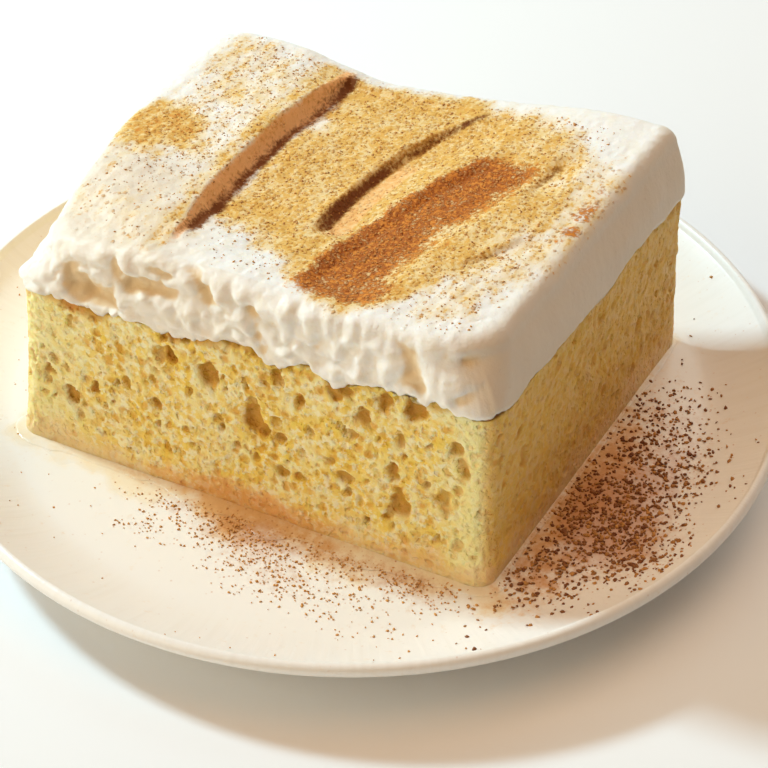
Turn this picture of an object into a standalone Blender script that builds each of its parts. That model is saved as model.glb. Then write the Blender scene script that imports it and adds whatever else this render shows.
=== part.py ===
"""Square of tres leches cake on a small side plate: milk-soaked sponge, whipped cream and ground cinnamon.

Units are metres and +Z is up. The origin is the centre of the plate's foot, on the table. +X runs along the
cut front face to its right end, and +Y runs from that face to the back of the cake.
"""

import math
import random

import bmesh
import bpy
import numpy as np
from mathutils import Matrix, Vector, noise

MM = 0.001
GAP = 0.3 * MM  # air left between pieces that touch

# Plate: a turned stoneware side plate, flat inside, with a low lip that turns up.
PLATE_RADIUS = 80 * MM
PLATE_WELL_RADIUS = 65 * MM
PLATE_FLOOR_Z = 6.0 * MM
PLATE_LIP_RISE = 7.0 * MM
PLATE_LIP_THICKNESS = 2.6 * MM
PLATE_FOOT_RADIUS = 47 * MM
PLATE_FOOT_WIDTH = 4.0 * MM
PLATE_FOOT_HEIGHT = 2.2 * MM
PLATE_SEGMENTS = 60
LIP_WOBBLE = 0.25 * MM

# Cake: four corners in plan, front left, front right, back right, back left. It slumps, so it is widest at
# its foot, and its faces aren't quite square to each other.
CAKE_BASE_Z = PLATE_FLOOR_Z + GAP
FOOT_CORNERS = np.array([(-48.0, -42.2), (46.0, -40.4), (50.0, 39.0), (-48.0, 38.5)]) * MM
LAYER_CORNERS = np.array([(-44.4, -40.6), (44.6, -39.0), (48.8, 37.2), (-47.6, 36.8)]) * MM
TOP_CORNERS = np.array([(-40.4, -39.6), (42.4, -37.8), (46.2, 39.6), (-47.4, 35.8)]) * MM
LEFT_BOW = 2.4 * MM
SPONGE_HEIGHT = 34.6 * MM
CAKE_HEIGHT = 47.0 * MM
FOOT_FLARE_POWER = 1.7
SPONGE_CORNER_ROUND = (0.08, 0.08, 0.06, 0.08)
CREAM_CORNER_ROUND = (0.16, 0.26, 0.07, 0.12)
CREAM_EDGE_RADIUS = 3.2 * MM
CREAM_OVERHANG = 0.9 * MM

# Lattice: steps along X and Y, the same for both blocks so that their facing surfaces match, and up each side.
PLAN_GRID = (36, 32)
SPONGE_ROWS = 13
CREAM_ROWS = 4
CREAM_EDGE_STEPS = 3

# Open crumb: round pits over the cut faces of the sponge.
PIT_COUNT = 150
PIT_RADIUS = (1.3 * MM, 3.0 * MM)
PIT_DEPTH_SHARE = 0.55
PIT_TALLNESS = 1.35

# Ground cinnamon: the coarsest flakes, lying on the plate and on the cream.
FLAKE_LENGTH = (1.0 * MM, 1.7 * MM)
FLAKE_SINK = 0.35
PLATE_FLAKES = 60
CREAM_FLAKES = 32

SEED = 11


def clear_scene():
    for obj in list(bpy.data.objects):
        bpy.data.objects.remove(obj)


def material(name, colour, roughness, metallic=0.0):
    made = bpy.data.materials.new(name)
    made.use_nodes = True
    shader = made.node_tree.nodes["Principled BSDF"]
    shader.inputs["Base Color"].default_value = (*colour, 1.0)
    shader.inputs["Roughness"].default_value = roughness
    shader.inputs["Metallic"].default_value = metallic
    return made


def add_object(name, mesh, finish, sharp_angle=math.radians(60)):
    mesh.shade_smooth()
    mesh.set_sharp_from_angle(angle=sharp_angle)
    mesh.materials.append(finish)
    obj = bpy.data.objects.new(name, mesh)
    bpy.context.scene.collection.objects.link(obj)
    return obj


def smooth_step(value, start, end):
    t = np.clip((value - start) / (end - start), 0.0, 1.0)
    return t * t * (3.0 - 2.0 * t)


def arc(centre_r, centre_z, radius, start_degrees, end_degrees, steps):
    """Points of an arc in the plate's section, both ends included."""
    angles = np.radians(np.linspace(start_degrees, end_degrees, steps + 1))
    return [(centre_r + radius * math.cos(a), centre_z + radius * math.sin(a)) for a in angles]


def lip_height(r):
    """Height of the plate's upper face above its floor: flat, then a curve up to the lip."""
    share = np.clip((r - PLATE_WELL_RADIUS) / (PLATE_RADIUS - PLATE_WELL_RADIUS), 0.0, 1.0)
    return PLATE_LIP_RISE * share**1.6


def plate_section():
    """Half section of the plate, from the middle of its underside round the lip to the middle of its floor."""
    half_lip = PLATE_LIP_THICKNESS / 2
    foot_out = PLATE_FOOT_RADIUS
    foot_in = PLATE_FOOT_RADIUS - PLATE_FOOT_WIDTH
    soffit = PLATE_FOOT_HEIGHT
    lip_r = PLATE_RADIUS - half_lip
    lip_z = PLATE_FLOOR_Z + PLATE_LIP_RISE - half_lip
    under = [(0.0, soffit), (foot_in - 1.0 * MM, soffit), (foot_in, 0.0), (foot_out, 0.0)]
    slope = [(foot_out + 2 * MM, soffit), (PLATE_WELL_RADIUS, soffit + 0.9 * MM)]
    lip = arc(lip_r, lip_z, half_lip, -50, 110, 5)
    upper_r = np.linspace(lip_r - 2 * MM, PLATE_WELL_RADIUS, 4)
    upper = [(r, PLATE_FLOOR_Z + float(lip_height(r))) for r in upper_r]
    return under + slope + lip + upper + [(0.0, PLATE_FLOOR_Z)]


def make_plate(finish):
    """The section spun round Z, with the slight rise and fall of a hand-finished lip."""
    bm = bmesh.new()
    verts = [bm.verts.new((r, 0.0, z)) for r, z in plate_section()]
    edges = [bm.edges.new(pair) for pair in zip(verts, verts[1:])]
    bmesh.ops.spin(
        bm,
        geom=verts + edges,
        cent=(0, 0, 0),
        axis=(0, 0, 1),
        angle=math.tau,
        steps=PLATE_SEGMENTS,
        use_merge=True,
    )
    bmesh.ops.remove_doubles(bm, verts=bm.verts, dist=0.01 * MM)
    bmesh.ops.recalc_face_normals(bm, faces=bm.faces)
    for vert in bm.verts:
        r = math.hypot(vert.co.x, vert.co.y)
        angle = math.atan2(vert.co.y, vert.co.x)
        share = float(smooth_step(r, PLATE_WELL_RADIUS, PLATE_RADIUS))
        vert.co.z += LIP_WOBBLE * share * math.sin(2 * angle + 0.7)
        vert.co.z += 0.5 * LIP_WOBBLE * share * math.sin(4 * angle)
    mesh = bpy.data.meshes.new("plate")
    bm.to_mesh(mesh)
    bm.free()
    return add_object("plate", mesh, finish)


def border(nx, ny):
    """Lattice places round the edge of an nx by ny grid, anticlockwise from the front left corner."""
    front = [(i, 0) for i in range(nx)]
    right = [(nx, j) for j in range(ny)]
    back = [(i, ny) for i in range(nx, 0, -1)]
    left = [(0, j) for j in range(ny, 0, -1)]
    return front + right + back + left


def unit_places(places, nx, ny):
    """Lattice places as coordinates from -1 to 1."""
    return np.array(places, float) / np.array([nx, ny]) * 2.0 - 1.0


def plan(uv, corners, rounding):
    """Maps the square -1..1 onto four corners in plan, with each of its corners rounded off.

    In a corner of size c, a point's offset from the corner's inner end keeps the longer of its two parts as its
    length, which turns squares round that end into circles. The left side bows out a little.
    """
    u, v = uv[:, 0], uv[:, 1]
    c = np.where(v < 0, np.where(u < 0, rounding[0], rounding[1]), np.where(u < 0, rounding[3], rounding[2]))
    inner = np.clip(uv, -(1 - c)[:, None], (1 - c)[:, None])
    offset = uv - inner
    length = np.linalg.norm(offset, axis=1)
    longest = np.abs(offset).max(axis=1)
    in_corner = (np.abs(offset) > 1e-9).all(axis=1)
    scale = np.where(in_corner, longest / np.maximum(length, 1e-9), 1.0)
    u, v = (inner + offset * scale[:, None]).T
    weights = np.stack([(1 - u) * (1 - v), (1 + u) * (1 - v), (1 + u) * (1 + v), (1 - u) * (1 + v)], axis=1)
    return weights @ corners / 4.0 - np.outer((1 - u) / 2 * (1 - v**2), (LEFT_BOW, 0.0))


def outward(ring):
    """Unit normals in plan of a closed anticlockwise ring of points."""
    along = np.roll(ring, -1, axis=0) - np.roll(ring, 1, axis=0)
    normal = np.stack([along[:, 1], -along[:, 0]], axis=1)
    return normal / np.linalg.norm(normal, axis=1)[:, None]


def arc_lengths(ring):
    """Distance of each ring point along the ring, and the length of the whole ring."""
    steps = np.linalg.norm(np.roll(ring, -1, axis=0) - ring, axis=1)
    return np.concatenate([[0.0], np.cumsum(steps)[:-1]]), float(steps.sum())


def layer_line(x, y, s, total):
    """How far the cream's lower edge rises and falls round the cake, s along its side.

    The cream hangs lower at the left of the front face, is torn up in two places past the middle, and drips once
    beside them. The other sides only wave a little.
    """
    front = -1.5 * MM * (1 - smooth_step(x, -16 * MM, -6 * MM)) + 0.9 * MM * smooth_step(x, 19 * MM, 26 * MM)
    for middle, width, size in ((0.0, 4.5, 1.9), (12.0, 3.0, 2.8), (17.5, 3.0, -1.6)):
        front = front + size * MM * np.exp(-(((x - middle * MM) / (width * MM)) ** 2))
    waves = ((5, 0.5, 0.4), (9, 0.5, 1.9), (17, 0.35, 0.8), (29, 0.25, 2.6))
    around = sum(size * MM * np.sin(math.tau * count * s / total + phase) for count, size, phase in waves)
    return front * smooth_step(-y, 30 * MM, 37 * MM) + around


def cream_top(x, y):
    """Height of the cream's upper face above the cake's foot: a palette knife drawn from back to front.

    Each stroke drops steeply on its left side and climbs back slowly to its right. The strokes bend in plan, and
    they fade out before they reach the front edge.
    """
    # The deep stroke, left of the middle. Towards the back it opens into a wide saddle.
    saddle = smooth_step(x, -38 * MM, -8 * MM) * smooth_step(y, 0.0, 33 * MM)
    middle = -19.6 * MM + 1.0 * MM * smooth_step(y, 6 * MM, 18 * MM) + 3.6 * MM * smooth_step(-y, 8 * MM, 32 * MM)
    half = 2.4 * MM - 0.9 * MM * smooth_step(y, 6 * MM, 18 * MM) - 1.5 * MM * smooth_step(-y, 10 * MM, 30 * MM)
    step = smooth_step(x, middle - half, middle + half) * smooth_step(y, -36 * MM, -8 * MM)
    step = step * (1 - smooth_step(y, 24 * MM, 34 * MM))
    deep = np.maximum(saddle, step) * (1 - smooth_step(x, -15 * MM, 33 * MM))
    height = CAKE_HEIGHT - 0.3 * MM - 4.4 * MM * deep
    # The second stroke, which starts at the middle and runs out to the right at the back.
    s = x - (1.5 * MM + 0.0078 / MM * np.maximum(y + 7 * MM, 0.0) ** 2)
    fade = smooth_step(y, -21 * MM, -13 * MM) * (1 - smooth_step(y, 14 * MM, 33 * MM))
    drop = smooth_step(s, -1.2 * MM, 1.0 * MM) * (1 - smooth_step(s, 3.5 * MM, 12 * MM))
    height = height - 1.9 * MM * drop * fade
    # The broad band under the thick cinnamon.
    s = x - (13.7 * MM + 0.0062 / MM * np.maximum(y + 28 * MM, 0.0) ** 2)
    fade = smooth_step(y, -38 * MM, -28 * MM) * (1 - smooth_step(y, 8 * MM, 22 * MM))
    drop = smooth_step(s, -7.5 * MM, -4.0 * MM) * (1 - smooth_step(s, 3.0 * MM, 9.0 * MM))
    height = height - 1.3 * MM * drop * fade
    # Two short strokes near the right edge.
    for x0, y0, x1, y1, size in ((32.0, 6.0, 36.5, 24.0, 0.9), (29.5, -15.0, 34.5, -6.0, 0.7)):
        s = x - (x0 + (x1 - x0) * (y / MM - y0) / (y1 - y0)) * MM
        fade = smooth_step(y, (y0 - 4) * MM, (y0 + 2) * MM) * (1 - smooth_step(y, (y1 - 2) * MM, (y1 + 4) * MM))
        drop = smooth_step(s, -1.2 * MM, 0.6 * MM) * (1 - smooth_step(s, 1.0 * MM, 6.0 * MM))
        height = height - size * MM * drop * fade
    # The front left corner sags, and the far right corner stands a little proud.
    sag = smooth_step(-x - 0.9 * y, 50 * MM, 76 * MM)
    rise = smooth_step(x, 15 * MM, 36 * MM) * smooth_step(y, -5 * MM, 36 * MM)
    return height - 3.2 * MM * sag + 1.0 * MM * rise


def fan(points, ring, numbers):
    """Adds the ring's middle to the points, and gives the triangles that join it to the numbered points."""
    middle = len(points)
    points.append(tuple(np.mean(ring, axis=0)))
    numbers = list(numbers)
    return [(middle, a, b) for a, b in zip(numbers, numbers[1:] + numbers[:1])]


def block_mesh(name, rings, top_grid=None, grid=None):
    """A closed block from anticlockwise rings, lowest first.

    Its bottom is a flat fan of triangles. Its top is a fan too, or a grid whose border is the last ring. The first
    band is split along the other diagonal, so that where the sponge's last band lies under the cream's
    first one, the two fold alike and keep their gap.
    """
    count = len(rings[0])
    points = [tuple(p) for ring in rings for p in ring]
    faces = fan(points, rings[0], range(count - 1, -1, -1))
    for k in range(len(rings) - 1):
        low, high = k * count, (k + 1) * count
        for a in range(count):
            b = (a + 1) % count
            if k == 0:
                faces += [(low + a, low + b, high + a), (low + b, high + b, high + a)]
            else:
                faces += [(low + a, low + b, high + b), (low + a, high + b, high + a)]
    last = (len(rings) - 1) * count
    if top_grid is None:
        faces += fan(points, rings[-1], range(last, last + count))
    else:
        nx, ny = grid
        number = {place: last + a for a, place in enumerate(border(nx, ny))}
        for i in range(nx + 1):
            for j in range(ny + 1):
                if (i, j) not in number:
                    number[i, j] = len(points)
                    points.append(tuple(top_grid[i, j]))
        for i in range(nx):
            for j in range(ny):
                corners = ((i, j), (i + 1, j), (i + 1, j + 1), (i, j + 1))
                faces.append(tuple(number[c] for c in corners))
    mesh = bpy.data.meshes.new(name)
    mesh.from_pydata(points, [], faces)
    mesh.update()
    return mesh


def crumb_pits(rng, total):
    """Centres along and up the side, radius and depth of each pit in the crumb."""
    pits = []
    for _ in range(PIT_COUNT):
        radius = PIT_RADIUS[0] + (PIT_RADIUS[1] - PIT_RADIUS[0]) * rng.random() ** 2.2
        up = rng.uniform(3 * MM, SPONGE_HEIGHT - 3 * MM)
        pits.append((rng.uniform(0, total), up, radius, PIT_DEPTH_SHARE * radius))
    return pits


def pit_depth(pits, s, z, total):
    """Depth of the crumb's surface below the cut: the deepest of the bowls that reach the point."""
    depth = np.zeros_like(s)
    for centre, up, radius, deepest in pits:
        along = np.abs(s - centre)
        along = np.minimum(along, total - along)
        reach = np.hypot(along, (z - up) / PIT_TALLNESS) / radius
        depth = np.maximum(depth, deepest * np.sqrt(np.maximum(1 - reach**2, 0.0)))
    return depth


def make_sponge(finish):
    """Milk-soaked sponge: flared at its foot, with an open crumb on all four cut faces."""
    rng = random.Random(SEED)
    nx, ny = PLAN_GRID
    uv = unit_places(border(nx, ny), nx, ny)
    top_ring = plan(uv, LAYER_CORNERS, SPONGE_CORNER_ROUND)
    s, total = arc_lengths(top_ring)
    pits = crumb_pits(rng, total)
    line = SPONGE_HEIGHT + layer_line(*top_ring.T, s, total)
    rings = []
    for share in np.linspace(0.0, 1.0, SPONGE_ROWS + 1):
        corners = LAYER_CORNERS + (FOOT_CORNERS - LAYER_CORNERS) * (1 - share) ** FOOT_FLARE_POWER
        ring = plan(uv, corners, SPONGE_CORNER_ROUND)
        up = share * line
        relief = -pit_depth(pits, s, up, total)
        relief += [0.5 * MM * noise.noise(Vector((a, b, 3.0))) for a, b in zip(s / (3 * MM), up / (3 * MM))]
        relief = relief * min(1.0, 0.3 + 4 * share) * smooth_step(share, 1.0, 0.9)
        ring = ring + outward(ring) * relief[:, None]
        rings.append(np.column_stack([ring, CAKE_BASE_Z + up]))
    flat = np.column_stack([rings[-1][:, :2] * 0.93, np.full(len(s), CAKE_BASE_Z + SPONGE_HEIGHT)])
    rings.append(flat)
    return add_object("sponge", block_mesh("sponge", rings), finish)


def cream_side_relief(ring, up, s):
    """Lumps and tears of the cream's side: coarse where it was torn at the front, nearly smooth elsewhere."""
    torn = smooth_step(-ring[:, 1], 24 * MM, 34 * MM) * (1 - 0.6 * smooth_step(ring[:, 0], 10 * MM, 40 * MM))
    lumps = np.array([noise.noise(Vector((a, b, 9.0))) for a, b in zip(s / (5 * MM), up / (4 * MM))])
    folds = np.array([noise.noise(Vector((a, b, 5.0))) for a, b in zip(s / (2.4 * MM), up / (9 * MM))])
    return (0.25 * MM + 1.5 * MM * torn) * lumps + (0.15 * MM + 0.5 * MM * torn) * folds


def make_cream(finish):
    """Whipped cream: a thick layer over the sponge, torn along its front and swept by a palette knife on top."""
    nx, ny = PLAN_GRID
    places = border(nx, ny)
    uv = unit_places(places, nx, ny)
    low_ring = plan(uv, LAYER_CORNERS, SPONGE_CORNER_ROUND)
    s, total = arc_lengths(low_ring)
    line = SPONGE_HEIGHT + layer_line(*low_ring.T, s, total) + GAP
    edge_share = CREAM_EDGE_RADIUS / abs(TOP_CORNERS[0, 0])
    inset_corners = TOP_CORNERS * (1 - edge_share)
    flat = np.column_stack([low_ring * 0.93, np.full(len(s), CAKE_BASE_Z + SPONGE_HEIGHT + GAP)])
    rings = [flat, np.column_stack([low_ring, CAKE_BASE_Z + line])]
    for share in np.linspace(0.12, 1.0, CREAM_ROWS):
        corners = LAYER_CORNERS + (TOP_CORNERS - LAYER_CORNERS) * share
        rounding = np.array(SPONGE_CORNER_ROUND) * (1 - share) + np.array(CREAM_CORNER_ROUND) * share
        ring = plan(uv, corners, rounding)
        bulge = CREAM_OVERHANG * math.sin(math.pi * min(1.0, 0.25 + share))
        crown = cream_top(*ring.T) - CREAM_EDGE_RADIUS
        up = line + (crown - line) * share
        relief = bulge + cream_side_relief(ring, up, s)
        ring = ring + outward(ring) * relief[:, None]
        rings.append(np.column_stack([ring, CAKE_BASE_Z + up]))
    for step in range(1, CREAM_EDGE_STEPS + 1):
        turn = math.radians(90 * step / CREAM_EDGE_STEPS)
        corners = inset_corners + (TOP_CORNERS - inset_corners) * math.cos(turn)
        ring = plan(uv, corners, CREAM_CORNER_ROUND)
        up = cream_top(*ring.T) - CREAM_EDGE_RADIUS * (1 - math.sin(turn))
        relief = cream_side_relief(ring, up, s) * math.cos(turn) * 0.7
        ring = ring + outward(ring) * relief[:, None]
        rings.append(np.column_stack([ring, CAKE_BASE_Z + up]))
    places_in = [(i, j) for i in range(nx + 1) for j in range(ny + 1)]
    inside = plan(unit_places(places_in, nx, ny), inset_corners, CREAM_CORNER_ROUND)
    ripple = [0.5 * MM * noise.noise(Vector((x, y, 1.0))) for x, y in inside / (6 * MM)]
    heights = CAKE_BASE_Z + cream_top(*inside.T) + ripple
    top_grid = np.column_stack([inside, heights]).reshape(nx + 1, ny + 1, 3)
    return add_object("whipped_cream", block_mesh("whipped_cream", rings, top_grid, (nx, ny)), finish)


def make_flake(rng, place, collection):
    """One coarse flake of cinnamon, a flattened ball turned at random, part sunk in what it lies on."""
    length = rng.uniform(*FLAKE_LENGTH)
    width = length * rng.uniform(0.55, 0.85)
    height = length * rng.uniform(0.4, 0.55)
    bm = bmesh.new()
    turn = Matrix.Rotation(rng.uniform(0, math.tau), 4, "Z")
    size = Matrix.Diagonal((length / 2, width / 2, height / 2, 1.0))
    bmesh.ops.create_icosphere(bm, subdivisions=1, radius=1.0, matrix=turn @ size)
    mesh = bpy.data.meshes.new("flake")
    bm.to_mesh(mesh)
    bm.free()
    flake = bpy.data.objects.new("flake", mesh)
    flake.location = (place[0], place[1], place[2] + height * (0.5 - FLAKE_SINK))
    collection.objects.link(flake)


def spread(rng, patches, count, spacing, allowed):
    """Draws count places from soft round patches (x, y, spread, weight), none closer than spacing."""
    places = []
    weights = [patch[3] for patch in patches]
    while len(places) < count:
        x0, y0, width, _ = rng.choices(patches, weights)[0]
        x, y = rng.gauss(x0, width), rng.gauss(y0, width)
        if allowed(x, y) and all(math.hypot(x - a, y - b) > spacing for a, b in places):
            places.append((x, y))
    return places


def fuse(target, collection):
    """Joins every object of the collection to the target as one solid, and removes them."""
    union = target.modifiers.new("flakes", "BOOLEAN")
    union.operation = "UNION"
    union.operand_type = "COLLECTION"
    union.collection = collection
    union.solver = "MANIFOLD"
    graph = bpy.context.evaluated_depsgraph_get()
    joined = bpy.data.meshes.new_from_object(target.evaluated_get(graph))
    target.modifiers.remove(union)
    target.data = joined
    for flake in list(collection.objects):
        bpy.data.objects.remove(flake)
    bpy.data.collections.remove(collection)


def dust(target, places):
    """Lays a flake on the target at each place, and fuses them all to it."""
    rng = random.Random(SEED + len(places))
    collection = bpy.data.collections.new("flakes_on_" + target.name)
    bpy.context.scene.collection.children.link(collection)
    for x, y in places:
        _, surface, _, _ = target.ray_cast(Vector((x, y, 100 * MM)), Vector((0, 0, -1)))
        make_flake(rng, surface, collection)
    bpy.context.view_layer.update()
    fuse(target, collection)


def clear_of_cake(x, y):
    """True on the plate's floor, inside the lip and at least 2 mm from the foot of the cake."""
    if math.hypot(x, y) > PLATE_RADIUS - 5 * MM:
        return False
    beside = 0.0
    for (x0, y0), (x1, y1) in zip(FOOT_CORNERS, np.roll(FOOT_CORNERS, -1, axis=0)):
        edge = math.hypot(x1 - x0, y1 - y0)
        beside = max(beside, ((x - x0) * (y1 - y0) - (y - y0) * (x1 - x0)) / edge)
    return beside > 2 * MM


def on_cream(x, y):
    """True on the cream's top, inside its rounded edge."""
    return abs(x) < 35 * MM and abs(y) < 31 * MM


def dust_with_cinnamon(plate, cream):
    rng = random.Random(SEED)
    beside_cake = [
        (59 * MM, -8 * MM, 9 * MM, 4),
        (62 * MM, -18 * MM, 9 * MM, 3),
        (61 * MM, 10 * MM, 8 * MM, 1.5),
        (8 * MM, -52 * MM, 9 * MM, 1.5),
        (26 * MM, -50 * MM, 8 * MM, 1.5),
    ]
    on_top = [
        (15 * MM, -18 * MM, 8 * MM, 3),
        (20 * MM, 6 * MM, 8 * MM, 3),
        (-35 * MM, 2 * MM, 8 * MM, 1),
        (-2 * MM, 6 * MM, 12 * MM, 2),
    ]
    on_plate = spread(rng, beside_cake, PLATE_FLAKES, 2.2 * MM, clear_of_cake)
    dust(plate, on_plate)
    on_cake = spread(rng, on_top, CREAM_FLAKES, 2.6 * MM, on_cream)
    dust(cream, on_cake)


def main():
    clear_scene()
    stoneware = material("stoneware", (0.86, 0.83, 0.78), 0.28)
    crumb = material("sponge_crumb", (0.72, 0.50, 0.17), 0.85)
    cream = material("whipped_cream", (0.90, 0.87, 0.80), 0.55)
    plate_object = make_plate(stoneware)
    make_sponge(crumb)
    cream_object = make_cream(cream)
    bpy.context.view_layer.update()
    dust_with_cinnamon(plate_object, cream_object)


main()
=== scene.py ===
"""A square of tres leches cake on its plate: open crumb, whipped cream swept by a knife, and cinnamon.

Lengths are in metres, unless a comment says millimetres. The origin is the middle of the plate's foot on the
table, +X runs along the cut front face to its right end, +Y to the back of the cake and +Z up.
"""

import logging
import math
from dataclasses import dataclass, field
from enum import Enum
from itertools import product

import bpy
import numpy as np
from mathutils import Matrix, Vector


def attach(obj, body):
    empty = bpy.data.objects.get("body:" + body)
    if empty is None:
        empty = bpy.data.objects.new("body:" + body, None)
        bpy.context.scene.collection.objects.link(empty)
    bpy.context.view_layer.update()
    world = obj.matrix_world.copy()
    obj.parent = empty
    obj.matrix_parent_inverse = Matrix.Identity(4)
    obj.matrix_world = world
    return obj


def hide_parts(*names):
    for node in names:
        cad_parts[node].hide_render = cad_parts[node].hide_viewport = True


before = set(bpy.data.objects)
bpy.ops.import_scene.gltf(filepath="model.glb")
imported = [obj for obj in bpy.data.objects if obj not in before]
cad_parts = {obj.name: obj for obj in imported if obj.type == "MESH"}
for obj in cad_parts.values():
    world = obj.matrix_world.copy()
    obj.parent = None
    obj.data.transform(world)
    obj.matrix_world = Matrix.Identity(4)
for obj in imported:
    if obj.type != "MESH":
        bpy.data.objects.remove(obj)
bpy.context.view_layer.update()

MM = 0.001
BODY = "root"
LOG = logging.getLogger("tres_leches")

Colour = tuple[float, float, float]


# Numbers on whole arrays


def smooth_step(value: np.ndarray, start: float, end: float) -> np.ndarray:
    """Rises from 0 at start to 1 at end along the curve 3t^2 - 2t^3.

    Args:
        value: Numbers to map.
        start: Where the result is 0.
        end: Where the result is 1. It may be less than start.

    Returns:
        The mapped numbers.
    """
    t = np.clip((value - start) / (end - start), 0.0, 1.0)
    return t * t * (3.0 - 2.0 * t)


def bump_at(value: np.ndarray, middle: float, width: float) -> np.ndarray:
    """A bell of height 1: e to the power of minus the square of the distance from middle over width."""
    return np.exp(-(((value - middle) / width) ** 2))


def ramp(value: np.ndarray, start: float, end: float) -> np.ndarray:
    """The smooth step from start to end, which are in millimetres."""
    return smooth_step(value, start * MM, end * MM)


def bell(value: np.ndarray, middle: float, width: float) -> np.ndarray:
    """The bell round middle, which is in millimetres, as the width is."""
    return bump_at(value, middle * MM, width * MM)


def reach_inside(x: np.ndarray, y: np.ndarray, corners: tuple[tuple[float, float], ...]) -> np.ndarray:
    """Distance inwards from a convex outline, negative outside: the least distance to the left of its edges.

    Args:
        x: Places along the front face.
        y: Places towards the back.
        corners: Corners of the outline in millimetres, anticlockwise.

    Returns:
        Distances in metres.
    """
    least = np.full(np.shape(x), 1.0)
    for (x0, y0), (x1, y1) in zip(np.array(corners) * MM, np.roll(np.array(corners), -1, axis=0) * MM):
        edge = math.hypot(x1 - x0, y1 - y0)
        least = np.minimum(least, ((x1 - x0) * (y - y0) - (y1 - y0) * (x - x0)) / edge)
    return least


def cell_numbers(cells: np.ndarray, seed: int) -> np.ndarray:
    """Even random numbers from 0 to 1, one for each cell of a lattice, the same on every run.

    The three whole coordinates and the seed are multiplied by large primes and added, and the bits of the sum
    are mixed by shifting it on itself.

    Args:
        cells: Whole coordinates, with the last axis of length 3.
        seed: Picks one of many such fields.

    Returns:
        An array with the last axis dropped.
    """
    c = cells.astype(np.int64).astype(np.uint32)
    h = c[..., 0] * np.uint32(374761393) + c[..., 1] * np.uint32(668265263)
    h = h + c[..., 2] * np.uint32(2246822519)
    h = h + np.uint32((seed * 3266489917 + 374761393) & 0xFFFFFFFF)
    h = (h ^ (h >> np.uint32(15))) * np.uint32(2654435761)
    h = (h ^ (h >> np.uint32(13))) * np.uint32(1274126177)
    h = h ^ (h >> np.uint32(16))
    return h.astype(np.float64) / 2.0**32


def noise(
    points: np.ndarray, size: float | tuple[float, float, float], seed: int, octaves: int = 1
) -> np.ndarray:
    """Smooth random field from -1 to 1: lattice numbers blended between the eight corners of each cell.

    Args:
        points: Places, with the last axis of length 3.
        size: Cell size in metres, one for all axes or one for each.
        seed: Picks the field.
        octaves: Each further octave halves the size and the share.

    Returns:
        The field at the points.
    """
    total, share, whole = 0.0, 1.0, 0.0
    scaled = points / np.asarray(size)
    for octave in range(octaves):
        base = np.floor(scaled)
        t = scaled - base
        t = t * t * (3.0 - 2.0 * t)
        value = 0.0
        for corner in product((0, 1), repeat=3):
            weight = np.prod(np.where(np.array(corner) == 1, t, 1.0 - t), axis=-1)
            value = value + weight * cell_numbers(base + np.array(corner), seed + 17 * octave)
        total = total + share * (2.0 * value - 1.0)
        whole += share
        share *= 0.5
        scaled = scaled * 2.03 + 7.3
    return total / whole


def cut_bubbles(points: np.ndarray, normals: np.ndarray, bubbles: "Bubbles", seed: int) -> np.ndarray:
    """Depth of the open bubbles that a cut through foam leaves at each point.

    Every lattice cell may hold one ball, set off its middle at random. A point inside a ball lies over an
    opened bubble. Its depth is how far one goes inwards along the normal before leaving that ball again: the
    offset's part along the normal, plus the root of the radius squared less the offset across it squared.

    Args:
        points: Places on the cut, with the last axis of length 3.
        normals: Outward unit normals at the points.
        bubbles: Sizes of this family of bubbles.
        seed: Picks the foam.

    Returns:
        Depth in metres at each point, 0 on the walls between bubbles.
    """
    squash = np.array([1.0, 1.0, 1.0 / bubbles.tallness])
    places = points * squash
    base = np.floor(places / bubbles.cell)
    depth = np.zeros(points.shape[:-1])
    low, high = bubbles.radius
    for offset in product((-1, 0, 1), repeat=3):
        home = base + np.array(offset)
        shift = np.stack([cell_numbers(home, seed + k) for k in range(3)], axis=-1)
        radius = low + (high - low) * cell_numbers(home, seed + 3) ** 1.6
        radius = np.where(cell_numbers(home, seed + 4) < bubbles.chance, radius, 0.0)
        away = places - (home + shift) * bubbles.cell
        distance = np.linalg.norm(away, axis=-1)
        along = (away * normals).sum(axis=-1)
        across = distance**2 - along**2
        reach = along + np.sqrt(np.maximum(radius**2 - across, 0.0))
        opened = smooth_step(radius - distance, 0.0, bubbles.lip) * (radius > 0)
        depth = np.maximum(depth, np.minimum(reach, bubbles.deepest) * opened)
    return depth


@dataclass(frozen=True)
class Bubbles:
    """One family of bubbles in the crumb.

    Attributes:
        cell: Spacing of the lattice that the bubbles lie on.
        chance: Share of its cells that hold one.
        radius: Smallest and largest radius.
        deepest: Depth at which the shadowed bottom of a bubble is filled.
        tallness: Height over width, since the batter rises as it bakes.
        lip: Width of the soft rim of an opened bubble.
    """

    cell: float
    chance: float
    radius: tuple[float, float]
    deepest: float
    tallness: float = 1.35
    lip: float = 0.24 * MM


# Meshes from arrays


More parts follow.
